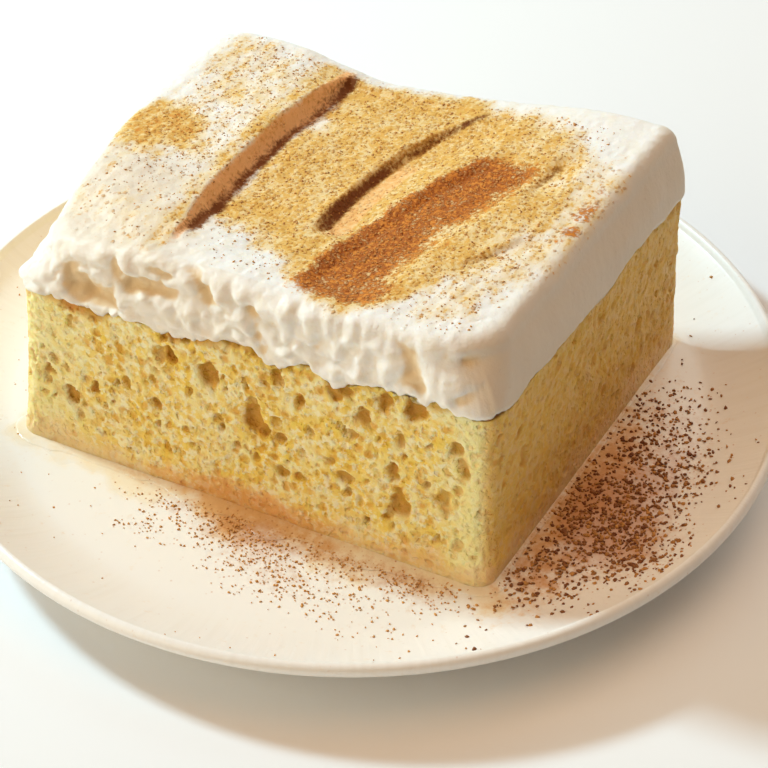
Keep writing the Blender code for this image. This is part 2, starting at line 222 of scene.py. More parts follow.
def mesh_object(
    name: str,
    points: np.ndarray,
    quads: np.ndarray,
    triangles: np.ndarray | None = None,
    values: dict[str, np.ndarray] | None = None,
    smooth: bool = True,
) -> bpy.types.Object:
    """Puts arrays into a new mesh object at the origin.

    Args:
        name: Name of the piece.
        points: Vertex places, n by 3.
        quads: Vertex numbers of the four-sided faces, anticlockwise from outside.
        triangles: The same for three-sided faces.
        values: Numbers kept on the vertices for the material, by attribute name.
        smooth: Whether the faces are shaded smooth.

    Returns:
        The object, linked to the scene.
    """
    triangles = np.zeros((0, 3), int) if triangles is None else triangles
    corners = np.concatenate([quads.ravel(), triangles.ravel()]).astype(np.int32)
    sizes = np.concatenate([np.full(len(quads), 4), np.full(len(triangles), 3)])
    starts = np.concatenate([[0], np.cumsum(sizes)[:-1]]).astype(np.int32)
    mesh = bpy.data.meshes.new(name)
    mesh.vertices.add(len(points))
    mesh.vertices.foreach_set("co", points.astype(np.float32).ravel())
    mesh.loops.add(len(corners))
    mesh.loops.foreach_set("vertex_index", corners)
    mesh.polygons.add(len(sizes))
    mesh.polygons.foreach_set("loop_start", starts)
    mesh.update(calc_edges=True)
    for key, numbers in (values or {}).items():
        kept = mesh.attributes.new(key, "FLOAT", "POINT").data
        kept.foreach_set("value", numbers.astype(np.float32).ravel())
    if smooth:
        mesh.shade_smooth()
    obj = bpy.data.objects.new(name, mesh)
    bpy.context.scene.collection.objects.link(obj)
    return obj


def band_quads(rows: int, count: int, closed_rows: bool = False) -> np.ndarray:
    """Faces between stacked rings: each joins a step of one ring to the same step of the ring above.

    Args:
        rows: Number of rings.
        count: Points in each ring, which is closed.
        closed_rows: Whether the last ring joins the first again.

    Returns:
        Vertex numbers, four for each face.
    """
    bands = rows if closed_rows else rows - 1
    k, a = np.meshgrid(np.arange(bands), np.arange(count), indexing="ij")
    b, up = (a + 1) % count, (k + 1) % rows
    return np.stack([k * count + a, k * count + b, up * count + b, up * count + a], axis=-1).reshape(-1, 4)


def fan_triangles(start: int, count: int, middle: int, facing_up: bool) -> np.ndarray:
    """Triangles that join a ring, numbered from start, to its middle point."""
    a = np.arange(count)
    b = (a + 1) % count
    first, second = (a, b) if facing_up else (b, a)
    return np.stack([start + first, start + second, np.full(count, middle)], axis=-1)


def grid_normals(points: np.ndarray) -> np.ndarray:
    """Outward normals of stacked rings: the step along each ring crossed with the step up to the next."""
    along = np.roll(points, -1, axis=1) - np.roll(points, 1, axis=1)
    up = np.gradient(points, axis=0)
    normal = np.cross(along, up)
    return normal / np.maximum(np.linalg.norm(normal, axis=-1, keepdims=True), 1e-12)


def side_places(front: int, right: int, back: int, left: int) -> np.ndarray:
    """Places round the square -1..1, anticlockwise from its front left corner, in so many steps a side."""
    f, r, b, l = (np.arange(n) / n * 2.0 - 1.0 for n in (front, right, back, left))
    ones = np.ones_like
    sides = [(f, -ones(f)), (ones(r), r), (-b, ones(b)), (-ones(l), -l)]
    return np.concatenate([np.stack(side, axis=-1) for side in sides])


# Shader nodes


class Weave:
    """Short ways to lay down and join the shader nodes of one material."""

    def __init__(self, name: str) -> None:
        """Makes an empty material with that name, and its texture coordinates."""
        self.material = bpy.data.materials.new(name)
        self.material.use_nodes = True
        self.tree = self.material.node_tree
        self.shader = self.tree.nodes["Principled BSDF"]
        self.place = self.tree.nodes.new("ShaderNodeTexCoord").outputs["Object"]

    def put(self, socket: bpy.types.NodeSocket, value: object) -> None:
        """Joins a socket to another, or gives it a constant."""
        if isinstance(value, bpy.types.NodeSocket):
            self.tree.links.new(value, socket)
        elif isinstance(value, tuple) and len(value) == 3 and socket.type == "RGBA":
            socket.default_value = (*value, 1.0)
        else:
            socket.default_value = value

    def reckon(self, operation: str, a: object, b: object = 0.0) -> bpy.types.NodeSocket:
        """A Math node.

        Args:
            operation: Name of the operation, such as MULTIPLY.
            a: First input, a socket or a number.
            b: Second input.

        Returns:
            Its output.
        """
        node = self.tree.nodes.new("ShaderNodeMath")
        node.operation = operation
        for socket, value in zip(node.inputs, (a, b)):
            self.put(socket, value)
        return node.outputs[0]

    def times(self, a: object, b: object) -> bpy.types.NodeSocket:
        """The product of two inputs."""
        return self.reckon("MULTIPLY", a, b)

    def plus(self, a: object, b: object) -> bpy.types.NodeSocket:
        """The sum of two inputs."""
        return self.reckon("ADD", a, b)

    def less(self, a: object, b: object) -> bpy.types.NodeSocket:
        """The first input less the second."""
        return self.reckon("SUBTRACT", a, b)

    def swing(self, noise: object, height: float) -> bpy.types.NodeSocket:
        """A noise moved to swing about 0, and made that high from its bottom to its top."""
        return self.times(self.less(noise, 0.5), height)

    def step(
        self, value: object, start: float, end: float, low: float = 0.0, high: float = 1.0
    ) -> bpy.types.NodeSocket:
        """A smooth step: low up to start, high from end on."""
        node = self.tree.nodes.new("ShaderNodeMapRange")
        node.interpolation_type = "SMOOTHSTEP"
        for socket, number in zip(node.inputs, (value, start, end, low, high)):
            self.put(socket, number)
        return node.outputs["Result"]

    def stretch(self, scale: tuple[float, float, float]) -> bpy.types.NodeSocket:
        """Object coordinates scaled axis by axis, so that a pattern is longer along some."""
        node = self.tree.nodes.new("ShaderNodeMapping")
        self.put(node.inputs["Vector"], self.place)
        node.inputs["Scale"].default_value = scale
        return node.outputs["Vector"]

    def warped(self, size: float, amount: float) -> bpy.types.NodeSocket:
        """Object coordinates pushed about by a noise of that size, up to half of amount each way."""
        node = self.tree.nodes.new("ShaderNodeTexNoise")
        self.put(node.inputs["Vector"], self.place)
        node.inputs["Scale"].default_value = 1.0 / size
        push = self.tree.nodes.new("ShaderNodeVectorMath")
        push.operation = "MULTIPLY_ADD"
        self.put(push.inputs[0], node.outputs["Color"])
        push.inputs[1].default_value = (amount, amount, amount)
        self.put(push.inputs[2], self.place)
        return push.outputs["Vector"]

    def noise(
        self, size: float, detail: float = 2.0, rough: float = 0.5, place: object = None
    ) -> bpy.types.NodeSocket:
        """Noise from 0 to 1 with features of that size in metres."""
        node = self.tree.nodes.new("ShaderNodeTexNoise")
        self.put(node.inputs["Vector"], place or self.place)
        node.inputs["Scale"].default_value = 1.0 / size
        node.inputs["Detail"].default_value = detail
        node.inputs["Roughness"].default_value = rough
        return node.outputs["Fac"]

    def tint(self, share: object, most: float, below: object, colour: object) -> bpy.types.NodeSocket:
        """The colour laid over what is below, as thick as share says, times most."""
        return self.blend(self.times(share, most), below, colour)

    def cells(self, size: float, place: object = None) -> tuple[bpy.types.NodeSocket, bpy.types.NodeSocket]:
        """Voronoi cells of that size: distance to the nearest middle, in cells, and a random number."""
        node = self.tree.nodes.new("ShaderNodeTexVoronoi")
        self.put(node.inputs["Vector"], place or self.place)
        node.inputs["Scale"].default_value = 1.0 / size
        split = self.tree.nodes.new("ShaderNodeSeparateColor")
        self.tree.links.new(node.outputs["Color"], split.inputs[0])
        return node.outputs["Distance"], split.outputs[0]

    def value(self, name: str) -> bpy.types.NodeSocket:
        """A number kept on the piece's vertices."""
        node = self.tree.nodes.new("ShaderNodeAttribute")
        node.attribute_name = name
        return node.outputs["Fac"]

    def blend(self, share: object, a: object, b: object) -> bpy.types.NodeSocket:
        """A colour between a, at share 0, and b, at share 1."""
        node = self.tree.nodes.new("ShaderNodeMix")
        node.data_type = "RGBA"
        self.put(node.inputs[0], share)
        self.put(node.inputs[6], a)
        self.put(node.inputs[7], b)
        return node.outputs[2]

    def bump(self, height: object, depth: float, below: object = None) -> bpy.types.NodeSocket:
        """Relief in the shading, with height 1 standing depth metres above height 0."""
        node = self.tree.nodes.new("ShaderNodeBump")
        node.inputs["Distance"].default_value = depth
        self.put(node.inputs["Height"], height)
        if below is not None:
            self.put(node.inputs["Normal"], below)
        return node.outputs["Normal"]

    def finish(self, **inputs: object) -> bpy.types.Material:
        """Sets the shader's inputs, with underscores for spaces in their names, and returns the material."""
        for key, value in inputs.items():
            self.put(self.shader.inputs[key.replace("_", " ")], value)
        return self.material

    def glow_inside(self, weight: float, radius: Colour, scale: float) -> None:
        """Light that enters the surface and comes out a little way off."""
        self.shader.inputs["Subsurface Weight"].default_value = weight
        self.shader.inputs["Subsurface Radius"].default_value = radius
        self.shader.inputs["Subsurface Scale"].default_value = scale


@dataclass(frozen=True)
class CrumbFinish:
    """Golden sponge crumb: pale walls, moist amber pores darkened with painted shade, and a tan foot that
    stands in the milk.

    Attributes:
        wall: Colour of the crumb between the pores.
        wall_deep: The same where the crumb is wetter.
        gilt: Patches where it is yellowest.
        pore_shade: Colour inside a small pore, with painted shade in it.
        hollow_shade: Painted shade at the bottom of a large pore, and in the band that the cream shades.
        pale: Dry flecks on the rims of the pores.
        edge_glow: Painted light along the upright edges, drawn as if the light shone through the thin crumb
            there.
        side_shade: Painted shade by face: a deep orange on the right face, which is out of the key light, and
            a little on the left face.
        soaked: Colour of the foot.
        stain: Cinnamon washed against the foot, and an orange-brown patch high on the left of the front.
        glow_share: Share of the light that goes inside and comes out again.
        glow: How far red, green and blue light spread inside it, as shares of glow_depth.
        glow_depth: How deep the light goes.
        damp_size: Size of the wetter patches.
        gilt_size: Size of the yellowest patches.
        broad_size: Size of the broad wet patches.
        pore_warp: Size and reach of the bends in the pores' outlines.
        small_pore: Spacing of the small pores.
        middle_pore: Spacing of the middling ones.
        fleck_size: Size of the dry flecks.
        stain_size: Size of the stain's clouds.
        grit_size: Size of the finest grit.
        relief: Depth of the shaded relief.
    """

    wall: Colour = (0.98, 0.83, 0.40)
    wall_deep: Colour = (0.96, 0.71, 0.19)
    gilt: Colour = (0.94, 0.63, 0.05)
    pore_shade: Colour = (0.78, 0.41, 0.022)
    hollow_shade: Colour = (0.52, 0.26, 0.010)
    pale: Colour = (1.0, 0.92, 0.66)
    edge_glow: Colour = (1.0, 0.90, 0.45)
    side_shade: Colour = (0.92, 0.53, 0.11)
    soaked: Colour = (0.90, 0.61, 0.32)
    stain: Colour = (0.80, 0.36, 0.09)
    glow_share: float = 0.40
    glow: Colour = (1.0, 0.55, 0.18)
    glow_depth: float = 1.7 * MM
    damp_size: float = 3.0 * MM
    gilt_size: float = 4.2 * MM
    broad_size: float = 8.0 * MM
    pore_warp: float = 1.8 * MM
    small_pore: float = 1.0 * MM
    middle_pore: float = 2.3 * MM
    fleck_size: float = 1.4 * MM
    stain_size: float = 2.4 * MM
    grit_size: float = 0.4 * MM
    relief: float = 0.18 * MM

    def material(self) -> bpy.types.Material:
        """Builds the material from the vertex values pore_shade, wet, soak, stain and edge_glow; pore_shade,
        wet and edge_glow paint light and shade.
        """
        weave = Weave("sponge_crumb")
        damp = weave.step(weave.noise(self.damp_size, 3.0), 0.42, 0.60)
        colour = weave.blend(damp, self.wall, self.wall_deep)
        yellow = weave.noise(self.gilt_size, 3.0, 0.6, weave.stretch((1.0, 1.0, 0.6)))
        colour = weave.tint(weave.step(yellow, 0.47, 0.63), 0.65, colour, self.gilt)
        broad = weave.noise(self.broad_size, 2.0, 0.5, weave.stretch((1.0, 1.0, 0.45)))
        colour = weave.tint(weave.step(broad, 0.46, 0.66), 0.40, colour, self.wall_deep)
        place = weave.warped(self.pore_warp, self.pore_warp)
        near, chance = weave.cells(self.small_pore, place)
        small = weave.times(weave.step(near, 0.58, 0.10), weave.step(chance, 0.25, 0.60))
        near, chance = weave.cells(self.middle_pore, place)
        middle = weave.times(weave.step(near, 0.56, 0.08), weave.step(chance, 0.40, 0.62))
        # Painted shade: pore_shade darkens the cells of small and middling pores, and hollow_shade the deep
        # bubbles and the band under the cream.
        depth = weave.step(weave.value("pore_shade"), 0.12, 0.85)
        colour = weave.tint(small, 0.50, colour, self.pore_shade)
        colour = weave.tint(middle, 0.78, colour, self.pore_shade)
        flecks = weave.step(weave.noise(self.fleck_size, 3.0, 0.6), 0.47, 0.62)
        rims = weave.less(weave.less(flecks, middle), depth)
        colour = weave.tint(rims, 0.78, colour, self.pale)
        # Painted glow along the front's left end and its near corner.
        colour = weave.tint(weave.value("edge_glow"), 0.70, colour, self.edge_glow)
        colour = weave.tint(depth, 0.93, colour, self.hollow_shade)
        # Painted shade by face, read from wet: the right face, and more faintly the left face.
        colour = weave.tint(weave.value("wet"), 0.72, colour, self.side_shade)
        soak = weave.value("soak")
        colour = weave.tint(soak, 0.65, colour, self.soaked)
        cloud = weave.swing(weave.noise(self.stain_size, 3.0, 0.6), 1.6)
        stain = weave.step(weave.plus(weave.value("stain"), cloud), 0.30, 1.20)
        stain = weave.less(stain, weave.times(rims, 0.35))
        colour = weave.tint(stain, 0.75, colour, self.stain)
        height = weave.less(weave.noise(self.grit_size, 2.0, 0.6), weave.times(small, 1.3))
        height = weave.less(height, weave.times(middle, 1.8))
        rough = weave.step(weave.plus(soak, weave.times(depth, 0.4)), 0.0, 1.0, 0.60, 0.36)
        weave.glow_inside(self.glow_share, self.glow, self.glow_depth)
        relief = weave.bump(height, self.relief)
        return weave.finish(Base_Color=colour, Roughness=rough, Normal=relief, Specular_IOR_Level=0.3)


@dataclass(frozen=True)
class CreamFinish:
    """Whipped cream, dusted golden where the cinnamon is fine and brown where it lies thick.

    Attributes:
        cream: Colour of the bare cream.
        shade: The same, a little yellower, where fat and sugar show.
        veil: Cream under the very finest dust.
        gold: Cream under a fine even dusting.
        grain: The darker grains of that dusting.
        brown: Cream under thick cinnamon.
        ember: The lighter grains of thick cinnamon.
        crease_dust_and_shade: Cinnamon gathered at the foot of a knife stroke, darkened with painted shadow
            where the step hides it from the light.
        tan: Cream tinted where the knife dragged cinnamon through it, and painted shade as well on the deep
            stroke's wall.
        fold: Painted shade in the hollows of the front face's lumps and folds.
        lee_shade: Painted shade: the right face, out of the key light, the left of the front face, and the
            lumpy top by the torn front-left edge.
        glow_share: Share of the light that goes inside and comes out again.
        glow: How far red, green and blue light spread inside it, as shares of glow_depth.
        glow_depth: How deep the light goes.
        fine_size: Size of the finest mottling of the dust.
        cloud_size: Size of its clouds across the strokes.
        grain_size: Spacing of the grains.
        grain_warp: Size of the bends in their outlines.
        grain_push: Reach of those bends.
        relief: Height of the grains.
    """

    cream: Colour = (0.93, 0.915, 0.88)
    shade: Colour = (0.92, 0.88, 0.79)
    veil: Colour = (0.83, 0.59, 0.20)
    gold: Colour = (0.73, 0.40, 0.066)
    grain: Colour = (0.62, 0.27, 0.035)
    brown: Colour = (0.39, 0.105, 0.012)
    ember: Colour = (0.71, 0.26, 0.036)
    crease_dust_and_shade: Colour = (0.20, 0.06, 0.010)
    tan: Colour = (0.98, 0.54, 0.23)
    fold: Colour = (0.80, 0.58, 0.30)
    lee_shade: Colour = (0.80, 0.69, 0.545)
    glow_share: float = 0.20
    glow: Colour = (1.0, 0.8, 0.6)
    glow_depth: float = 1.2 * MM
    fine_size: float = 0.75 * MM
    cloud_size: float = 2.2 * MM
    grain_size: float = 0.85 * MM
    grain_warp: float = 0.8 * MM
    grain_push: float = 0.7 * MM
    relief: float = 0.16 * MM

    def material(self) -> bpy.types.Material:
        """Builds the material from the vertex values gold, brown, tan, crease_dust_and_shade, fold and
        lee_shade; fold and lee_shade are painted shade, tan and crease_dust_and_shade partly.
        """
        weave = Weave("whipped_cream")
        fine = weave.noise(self.fine_size, 2.0, 0.6)
        cloud = weave.noise(self.cloud_size, 3.0, 0.6, weave.stretch((1.0, 0.45, 1.0)))
        wide, narrow = weave.swing(cloud, 1.8), weave.swing(fine, 2.2)
        mottle = weave.plus(wide, narrow)
        gold, brown = weave.value("gold"), weave.value("brown")
        some = weave.step(gold, 0.04, 0.22)
        colour = weave.blend(weave.step(cloud, 0.4, 0.7), self.cream, self.shade)
        # Painted shade on the faces out of the light.
        colour = weave.tint(weave.value("lee_shade"), 0.9, colour, self.lee_shade)
        veil = weave.step(weave.plus(gold, weave.times(wide, 0.4)), 0.05, 0.72)
        colour = weave.tint(weave.times(veil, some), 0.84, colour, self.veil)
        dust = weave.step(weave.plus(gold, weave.times(mottle, 1.1)), 0.40, 1.10)
        colour = weave.tint(weave.times(dust, some), 0.85, colour, self.gold)
        near, chance = weave.cells(self.grain_size, weave.warped(self.grain_warp, self.grain_push))
        lying = weave.less(weave.times(gold, 0.60), chance)
        grains = weave.times(weave.step(lying, -0.04, 0.08), weave.step(near, 0.62, 0.25))
        colour = weave.tint(weave.times(grains, some), 0.56, colour, self.grain)
        thick = weave.step(weave.plus(brown, weave.times(mottle, 0.75)), 0.28, 0.86)
        glint = weave.plus(weave.times(wide, 0.55), narrow)
        embers = weave.blend(weave.step(glint, -0.14, 0.40), self.brown, self.ember)
        dusty = weave.step(weave.plus(gold, brown), 0.0, 0.15)
        colour = weave.blend(weave.times(thick, dusty), colour, embers)
        # tan covers the strip right of the second stroke and, as painted shade, the deep stroke's wall.
        tan_cover = weave.plus(weave.value("tan"), weave.times(mottle, 0.22))
        worn = weave.times(weave.step(mottle, -0.1, 0.6), 0.45)
        tan_mottled = weave.blend(worn, self.tan, self.grain)
        colour = weave.tint(weave.step(tan_cover, 0.12, 0.72), 0.95, colour, tan_mottled)
        # Painted shade in the front face's hollows.
        fold = weave.step(weave.plus(weave.value("fold"), weave.times(wide, 0.3)), 0.15, 1.0)
        colour = weave.tint(fold, 0.82, colour, self.fold)
        # Cinnamon and painted shadow at the foot of the knife strokes.
        ragged = weave.plus(weave.value("crease_dust_and_shade"), weave.times(mottle, 0.40))
        colour = weave.blend(weave.step(ragged, 0.20, 0.80), colour, self.crease_dust_and_shade)
        relief = weave.bump(weave.plus(weave.times(fine, 0.5), grains), self.relief)
        relief = weave.bump(weave.noise(0.25 * MM, 2.0), 0.03 * MM, relief)
        weave.glow_inside(self.glow_share, self.glow, self.glow_depth)
        powdery = weave.plus(weave.plus(gold, brown), weave.plus(weave.value("tan"), ragged))
        rough = weave.step(powdery, 0.10, 0.70, 0.50, 0.92)
        return weave.finish(Base_Color=colour, Roughness=rough, Normal=relief, Specular_IOR_Level=0.4)


@dataclass(frozen=True)
class SpillFinish:
    """Milk and powder that have run or fallen beside the cake, over whatever lies below.

    Attributes:
        milk: Milk tinted by the cake.
        caramel: Milk where it has washed crumb and cinnamon along; right of the cake it also paints the shade
            and brown reflection by the foot.
        powder: Dry cinnamon dust.
        cloud_size: Size of the clouds in all three.
        dot_size: Spacing of the dots of dust.
    """

    milk: Colour = (0.92, 0.79, 0.57)
    caramel: Colour = (0.80, 0.47, 0.18)
    powder: Colour = (0.55, 0.23, 0.08)
    cloud_size: float = 2.2 * MM
    dot_size: float = 0.62 * MM

    def over(self, weave: Weave, colour: object) -> bpy.types.NodeSocket:
        """Lays the spill over a colour, as thick as the vertex values milk, wash and powder say.

        Args:
            weave: The material being made.
            colour: What shows where nothing is spilt.

        Returns:
            The colour with the spill on it.
        """
        cloud = weave.less(weave.noise(self.cloud_size, 4.0, 0.65), 0.5)
        milk = weave.plus(weave.value("milk"), weave.times(cloud, 0.9))
        colour = weave.tint(weave.step(milk, 0.05, 1.0), 0.9, colour, self.milk)
        wash_and_shade = weave.plus(weave.value("wash_and_shade"), weave.times(cloud, 1.6))
        colour = weave.tint(weave.step(wash_and_shade, 0.15, 1.0), 0.9, colour, self.caramel)
        powder = weave.plus(weave.value("powder"), weave.times(cloud, 1.3))
        colour = weave.tint(weave.step(powder, 0.20, 1.25), 0.8, colour, self.powder)
        near, chance = weave.cells(self.dot_size)
        lying = weave.less(weave.times(weave.value("powder"), 0.60), chance)
        dots = weave.times(weave.step(lying, -0.04, 0.06), weave.step(near, 0.42, 0.2))
        return weave.tint(dots, 0.7, colour, self.powder)


@dataclass(frozen=True)
class StonewareFinish:
    """Off-white glaze with faint brush streaks towards the lip.

    Attributes:
        glaze: Colour of the glaze.
        shade: The same where it lies thicker.
        spill: What lies on it beside the cake.
        streaks: Radius of the circle that the noise is read on, so that more gives more streaks.
        lip_starts: Where the streaks begin, and where they are full, from the middle.
    """

    glaze: Colour = (0.93, 0.905, 0.865)
    shade: Colour = (0.90, 0.87, 0.82)
    spill: SpillFinish = SpillFinish()
    streaks: float = 60.0
    lip_starts: tuple[float, float] = (62 * MM, 74 * MM)

    def material(self) -> bpy.types.Material:
        """Builds the material, with streaks that run out from the plate's middle."""
        weave = Weave("stoneware")
        split = weave.tree.nodes.new("ShaderNodeSeparateXYZ")
        weave.put(split.inputs[0], weave.place)
        x, y = split.outputs[0], split.outputs[1]
        turn = weave.reckon("ARCTAN2", y, x)
        radius = weave.reckon("SQRT", weave.plus(weave.times(x, x), weave.times(y, y)))
        join = weave.tree.nodes.new("ShaderNodeCombineXYZ")
        parts = (weave.reckon("COSINE", turn), weave.reckon("SINE", turn), radius)
        for socket, part in zip(join.inputs, parts):
            weave.put(socket, weave.times(part, self.streaks))
        streaks = weave.noise(1.0, 3.0, 0.5, join.outputs[0])
        lip = weave.step(radius, *self.lip_starts)
        share = weave.times(weave.step(streaks, 0.45, 0.75), weave.times(lip, 0.8))
        colour = self.spill.over(weave, weave.blend(share, self.glaze, self.shade))
        relief = weave.bump(weave.times(streaks, lip), 0.10 * MM)
        rough = weave.step(weave.value("milk"), 0.0, 0.8, 0.34, 0.22)
        return weave.finish(Base_Color=colour, Roughness=rough, Normal=relief)


@dataclass(frozen=True)
class MilkFinish:
    """The wet film of milk itself, with the glaze showing through it.

    Attributes:
        below: Colour of the glaze.
        spill: What the milk carries.
    """

    below: Colour = (0.93, 0.905, 0.865)
    spill: SpillFinish = SpillFinish()

    def material(self) -> bpy.types.Material:
        """Builds the wet, slightly clouded material."""
        weave = Weave("soaking_milk")
        colour = self.spill.over(weave, self.below)
        relief = weave.bump(weave.noise(1.5 * MM, 2.0), 0.10 * MM)
        return weave.finish(Base_Color=colour, Roughness=0.20, Normal=relief)


@dataclass(frozen=True)
class CinnamonFinish:
    """Ground cinnamon: flakes from dark bark brown to orange.

    Attributes:
        dark: Colour of a flake with tone 0.
        light: Colour of a flake with tone 1.
    """

    dark: Colour = (0.18, 0.048, 0.012)
    light: Colour = (0.70, 0.34, 0.09)

    def material(self) -> bpy.types.Material:
        """Builds the material from the vertex value tone, the same all over a flake."""
        weave = Weave("cinnamon")
        grain = weave.noise(0.2 * MM, 2.0)
        tone = weave.plus(weave.value("tone"), weave.swing(grain, 0.5))
        colour = weave.blend(weave.step(tone, 0.0, 1.0), self.dark, self.light)
        return weave.finish(Base_Color=colour, Roughness=0.8, Normal=weave.bump(grain, 0.05 * MM))


# The cake's shape


@dataclass(frozen=True)
class SliceShape:
    """Outline and heights of the slice, which every piece on and round it shares.

    Corners run front left, front right, back right, back left, in plan.

    Attributes:
        floor_z: Height of the plate's floor, on which the slice stands.
        foot: Corners at the foot, where the slice is widest.
        layer: Corners at the line between sponge and cream.
        top: Corners at the top of the cream's side.
        left_bow: How far the middle of the left side bows out.
        sponge_round: Share of half a side that each corner's rounding takes up in the sponge.
        cream_round: The same at the top of the cream.
        sponge_height: Mean height of the sponge.
        cake_height: Height of the slice where no stroke lowers it.
        flare: Power by which the sides curve in above the foot.
        edge_radius: Radius of the cream's top edge.
        waves: Waves of the line between sponge and cream: number in a turn, height in millimetres, and phase.
        tears: Where that line goes up or down on the front: place along x, width and rise, in millimetres.
        short_strokes: Ends of the short strokes, as x and y of each, and their depth, in millimetres.
    """

    floor_z: float = 6.0 * MM
    foot: tuple[tuple[float, float], ...] = ((-48.0, -42.2), (46.0, -40.4), (50.0, 39.0), (-48.0, 38.5))
    layer: tuple[tuple[float, float], ...] = ((-44.4, -40.6), (44.6, -39.0), (48.8, 37.2), (-47.6, 36.8))
    top: tuple[tuple[float, float], ...] = ((-40.4, -39.6), (42.4, -37.8), (46.2, 39.6), (-47.4, 35.8))
    left_bow: float = 2.4 * MM
    sponge_round: tuple[float, ...] = (0.08, 0.08, 0.06, 0.08)
    cream_round: tuple[float, ...] = (0.16, 0.26, 0.07, 0.12)
    sponge_height: float = 34.6 * MM
    cake_height: float = 47.0 * MM
    flare: float = 1.7
    edge_radius: float = 3.2 * MM
    waves: tuple[tuple[int, float, float], ...] = (
        (5, 0.5, 0.4),
        (9, 0.5, 1.9),
        (17, 0.35, 0.8),
        (29, 0.25, 2.6),
    )
    tears: tuple[tuple[float, float, float], ...] = ((0.0, 4.5, 1.9), (12.0, 3.0, 2.8), (17.5, 3.0, -1.6))
    short_strokes: tuple[tuple[float, ...], ...] = (
        (29.8, 9.0, 31.2, 19.0, 0.8),
        (29.5, -15.0, 34.5, -6.0, 0.7),
    )

    def corners(self, name: str) -> np.ndarray:
        """The named corners, foot, layer or top, in metres."""
        return np.array(getattr(self, name)) * MM

    def plan(self, uv: np.ndarray, corners: np.ndarray, rounding: tuple[float, ...]) -> np.ndarray:
        """Maps the square -1..1 onto four corners in plan, with each of its corners rounded off.

        In a corner, a point's offset from the corner's inner end keeps the longer of its two parts as its
        length, which turns squares round that end into circles. The four corners are then blended by the
        products of 1 - u or 1 + u with 1 - v or 1 + v, and the left side bows out by 1 - v^2.

        Args:
            uv: Places in the square, n by 2.
            corners: The four corners, in metres.
            rounding: Share of each corner's rounding.

        Returns:
            Places in plan, n by 2.
        """
        u, v = uv[:, 0], uv[:, 1]
        front, back = np.where(u < 0, rounding[0], rounding[1]), np.where(u < 0, rounding[3], rounding[2])
        reach = 1.0 - np.where(v < 0, front, back)[:, None]
        inner = np.clip(uv, -reach, reach)
        offset = uv - inner
        length = np.linalg.norm(offset, axis=1)
        longest = np.abs(offset).max(axis=1)
        in_corner = (np.abs(offset) > 1e-9).all(axis=1)
        scale = np.where(in_corner, longest / np.maximum(length, 1e-9), 1.0)
        u, v = (inner + offset * scale[:, None]).T
        left, right, near, far = 1 - u, 1 + u, 1 - v, 1 + v
        weights = np.stack([left * near, right * near, right * far, left * far], axis=1)
        return weights @ corners / 4.0 - np.outer((1 - u) / 2 * (1 - v**2), (self.left_bow, 0.0))

    def sponge_plan(self, uv: np.ndarray, share: float) -> np.ndarray:
        """Outline of the sponge at a share of its height: the flare dies away by a power of 1 - share."""
        foot, layer = self.corners("foot"), self.corners("layer")
        return self.plan(uv, layer + (foot - layer) * (1.0 - share) ** self.flare, self.sponge_round)

    def layer_line(self, ring: np.ndarray) -> np.ndarray:
        """Height above the foot of the line between sponge and cream, round the closed ring of plan places.

        Four sine waves run round the whole slice. On the front face the cream also hangs lower at the left,
        is torn up in two places past the middle, and drips once beside them.
        """
        x, y = ring.T
        steps = np.linalg.norm(np.roll(ring, -1, axis=0) - ring, axis=1)
        around = np.concatenate([[0.0], np.cumsum(steps)[:-1]]) / steps.sum() * math.tau
        line = sum(size * MM * np.sin(count * around + phase) for count, size, phase in self.waves)
        front = -1.5 * MM * (1 - ramp(x, -16, -6)) + 0.9 * MM * ramp(x, 19, 26)
        for middle, width, size in self.tears:
            front = front + size * MM * bell(x, middle, width)
        return self.sponge_height + line + front * ramp(-y, 30, 37)

    def cream_top(self, x: np.ndarray, y: np.ndarray) -> np.ndarray:
        """Height of the cream above the foot: strokes of a palette knife drawn from back to front.

        Each stroke is a smooth step down on its left side and a slow climb back on its right. The long ones
        bend in plan and fade out before the front edge, and the short ones are straight.

        Args:
            x: Places along the front face.
            y: Places towards the back.

        Returns:
            Heights in metres.
        """
        deep = self.deep_stroke(x, y) * (1 - ramp(x, -15, 33))
        height = self.cake_height - 0.3 * MM - (3.3 + 0.7 * ramp(y, 10, 34)) * MM * deep
        s = self.second_stroke(x, y)
        fade = ramp(y, -18, -12) * (1 - ramp(y, 14, 33))
        drop = ramp(s, -1.2, 1) * (1 - ramp(s, 3.5, 12))
        height = height - 1.9 * MM * drop * fade
        s = self.thick_band(x, y)
        fade = ramp(y, -38, -28) * (1 - ramp(y, 8, 22))
        drop = ramp(s, -7.5, -4) * (1 - ramp(s, 3, 9))
        height = height - 1.3 * MM * drop * fade
        for *ends, size in self.short_strokes:
            s, fade = self.short_line(x, y, ends, 4)
            drop = ramp(s, -1.2, 0.6) * (1 - ramp(s, 1, 6))
            height = height - size * MM * drop * fade
        sag = ramp(-x - 0.9 * y, 50, 76)
        rise = ramp(x, 15, 36) * ramp(y, -5, 36)
        return height - 3.2 * MM * sag + 1.0 * MM * rise

    def short_line(
        self, x: np.ndarray, y: np.ndarray, ends: list[float], past: float
    ) -> tuple[np.ndarray, np.ndarray]:
        """Follows a short straight stroke.

        Args:
            x: Places along the front face.
            y: Places towards the back.
            ends: x and y of its front end, then of its back end, in millimetres.
            past: How far beyond its ends it has faded out, in millimetres.

        Returns:
            Distance to the right of it, and the share of it that is there at each y.
        """
        x0, y0, x1, y1 = ends
        away = x - (x0 + (x1 - x0) * (y / MM - y0) / (y1 - y0)) * MM
        return away, ramp(y, y0 - past, y0 + 2) * (1 - ramp(y, y1 - 2, y1 + past))

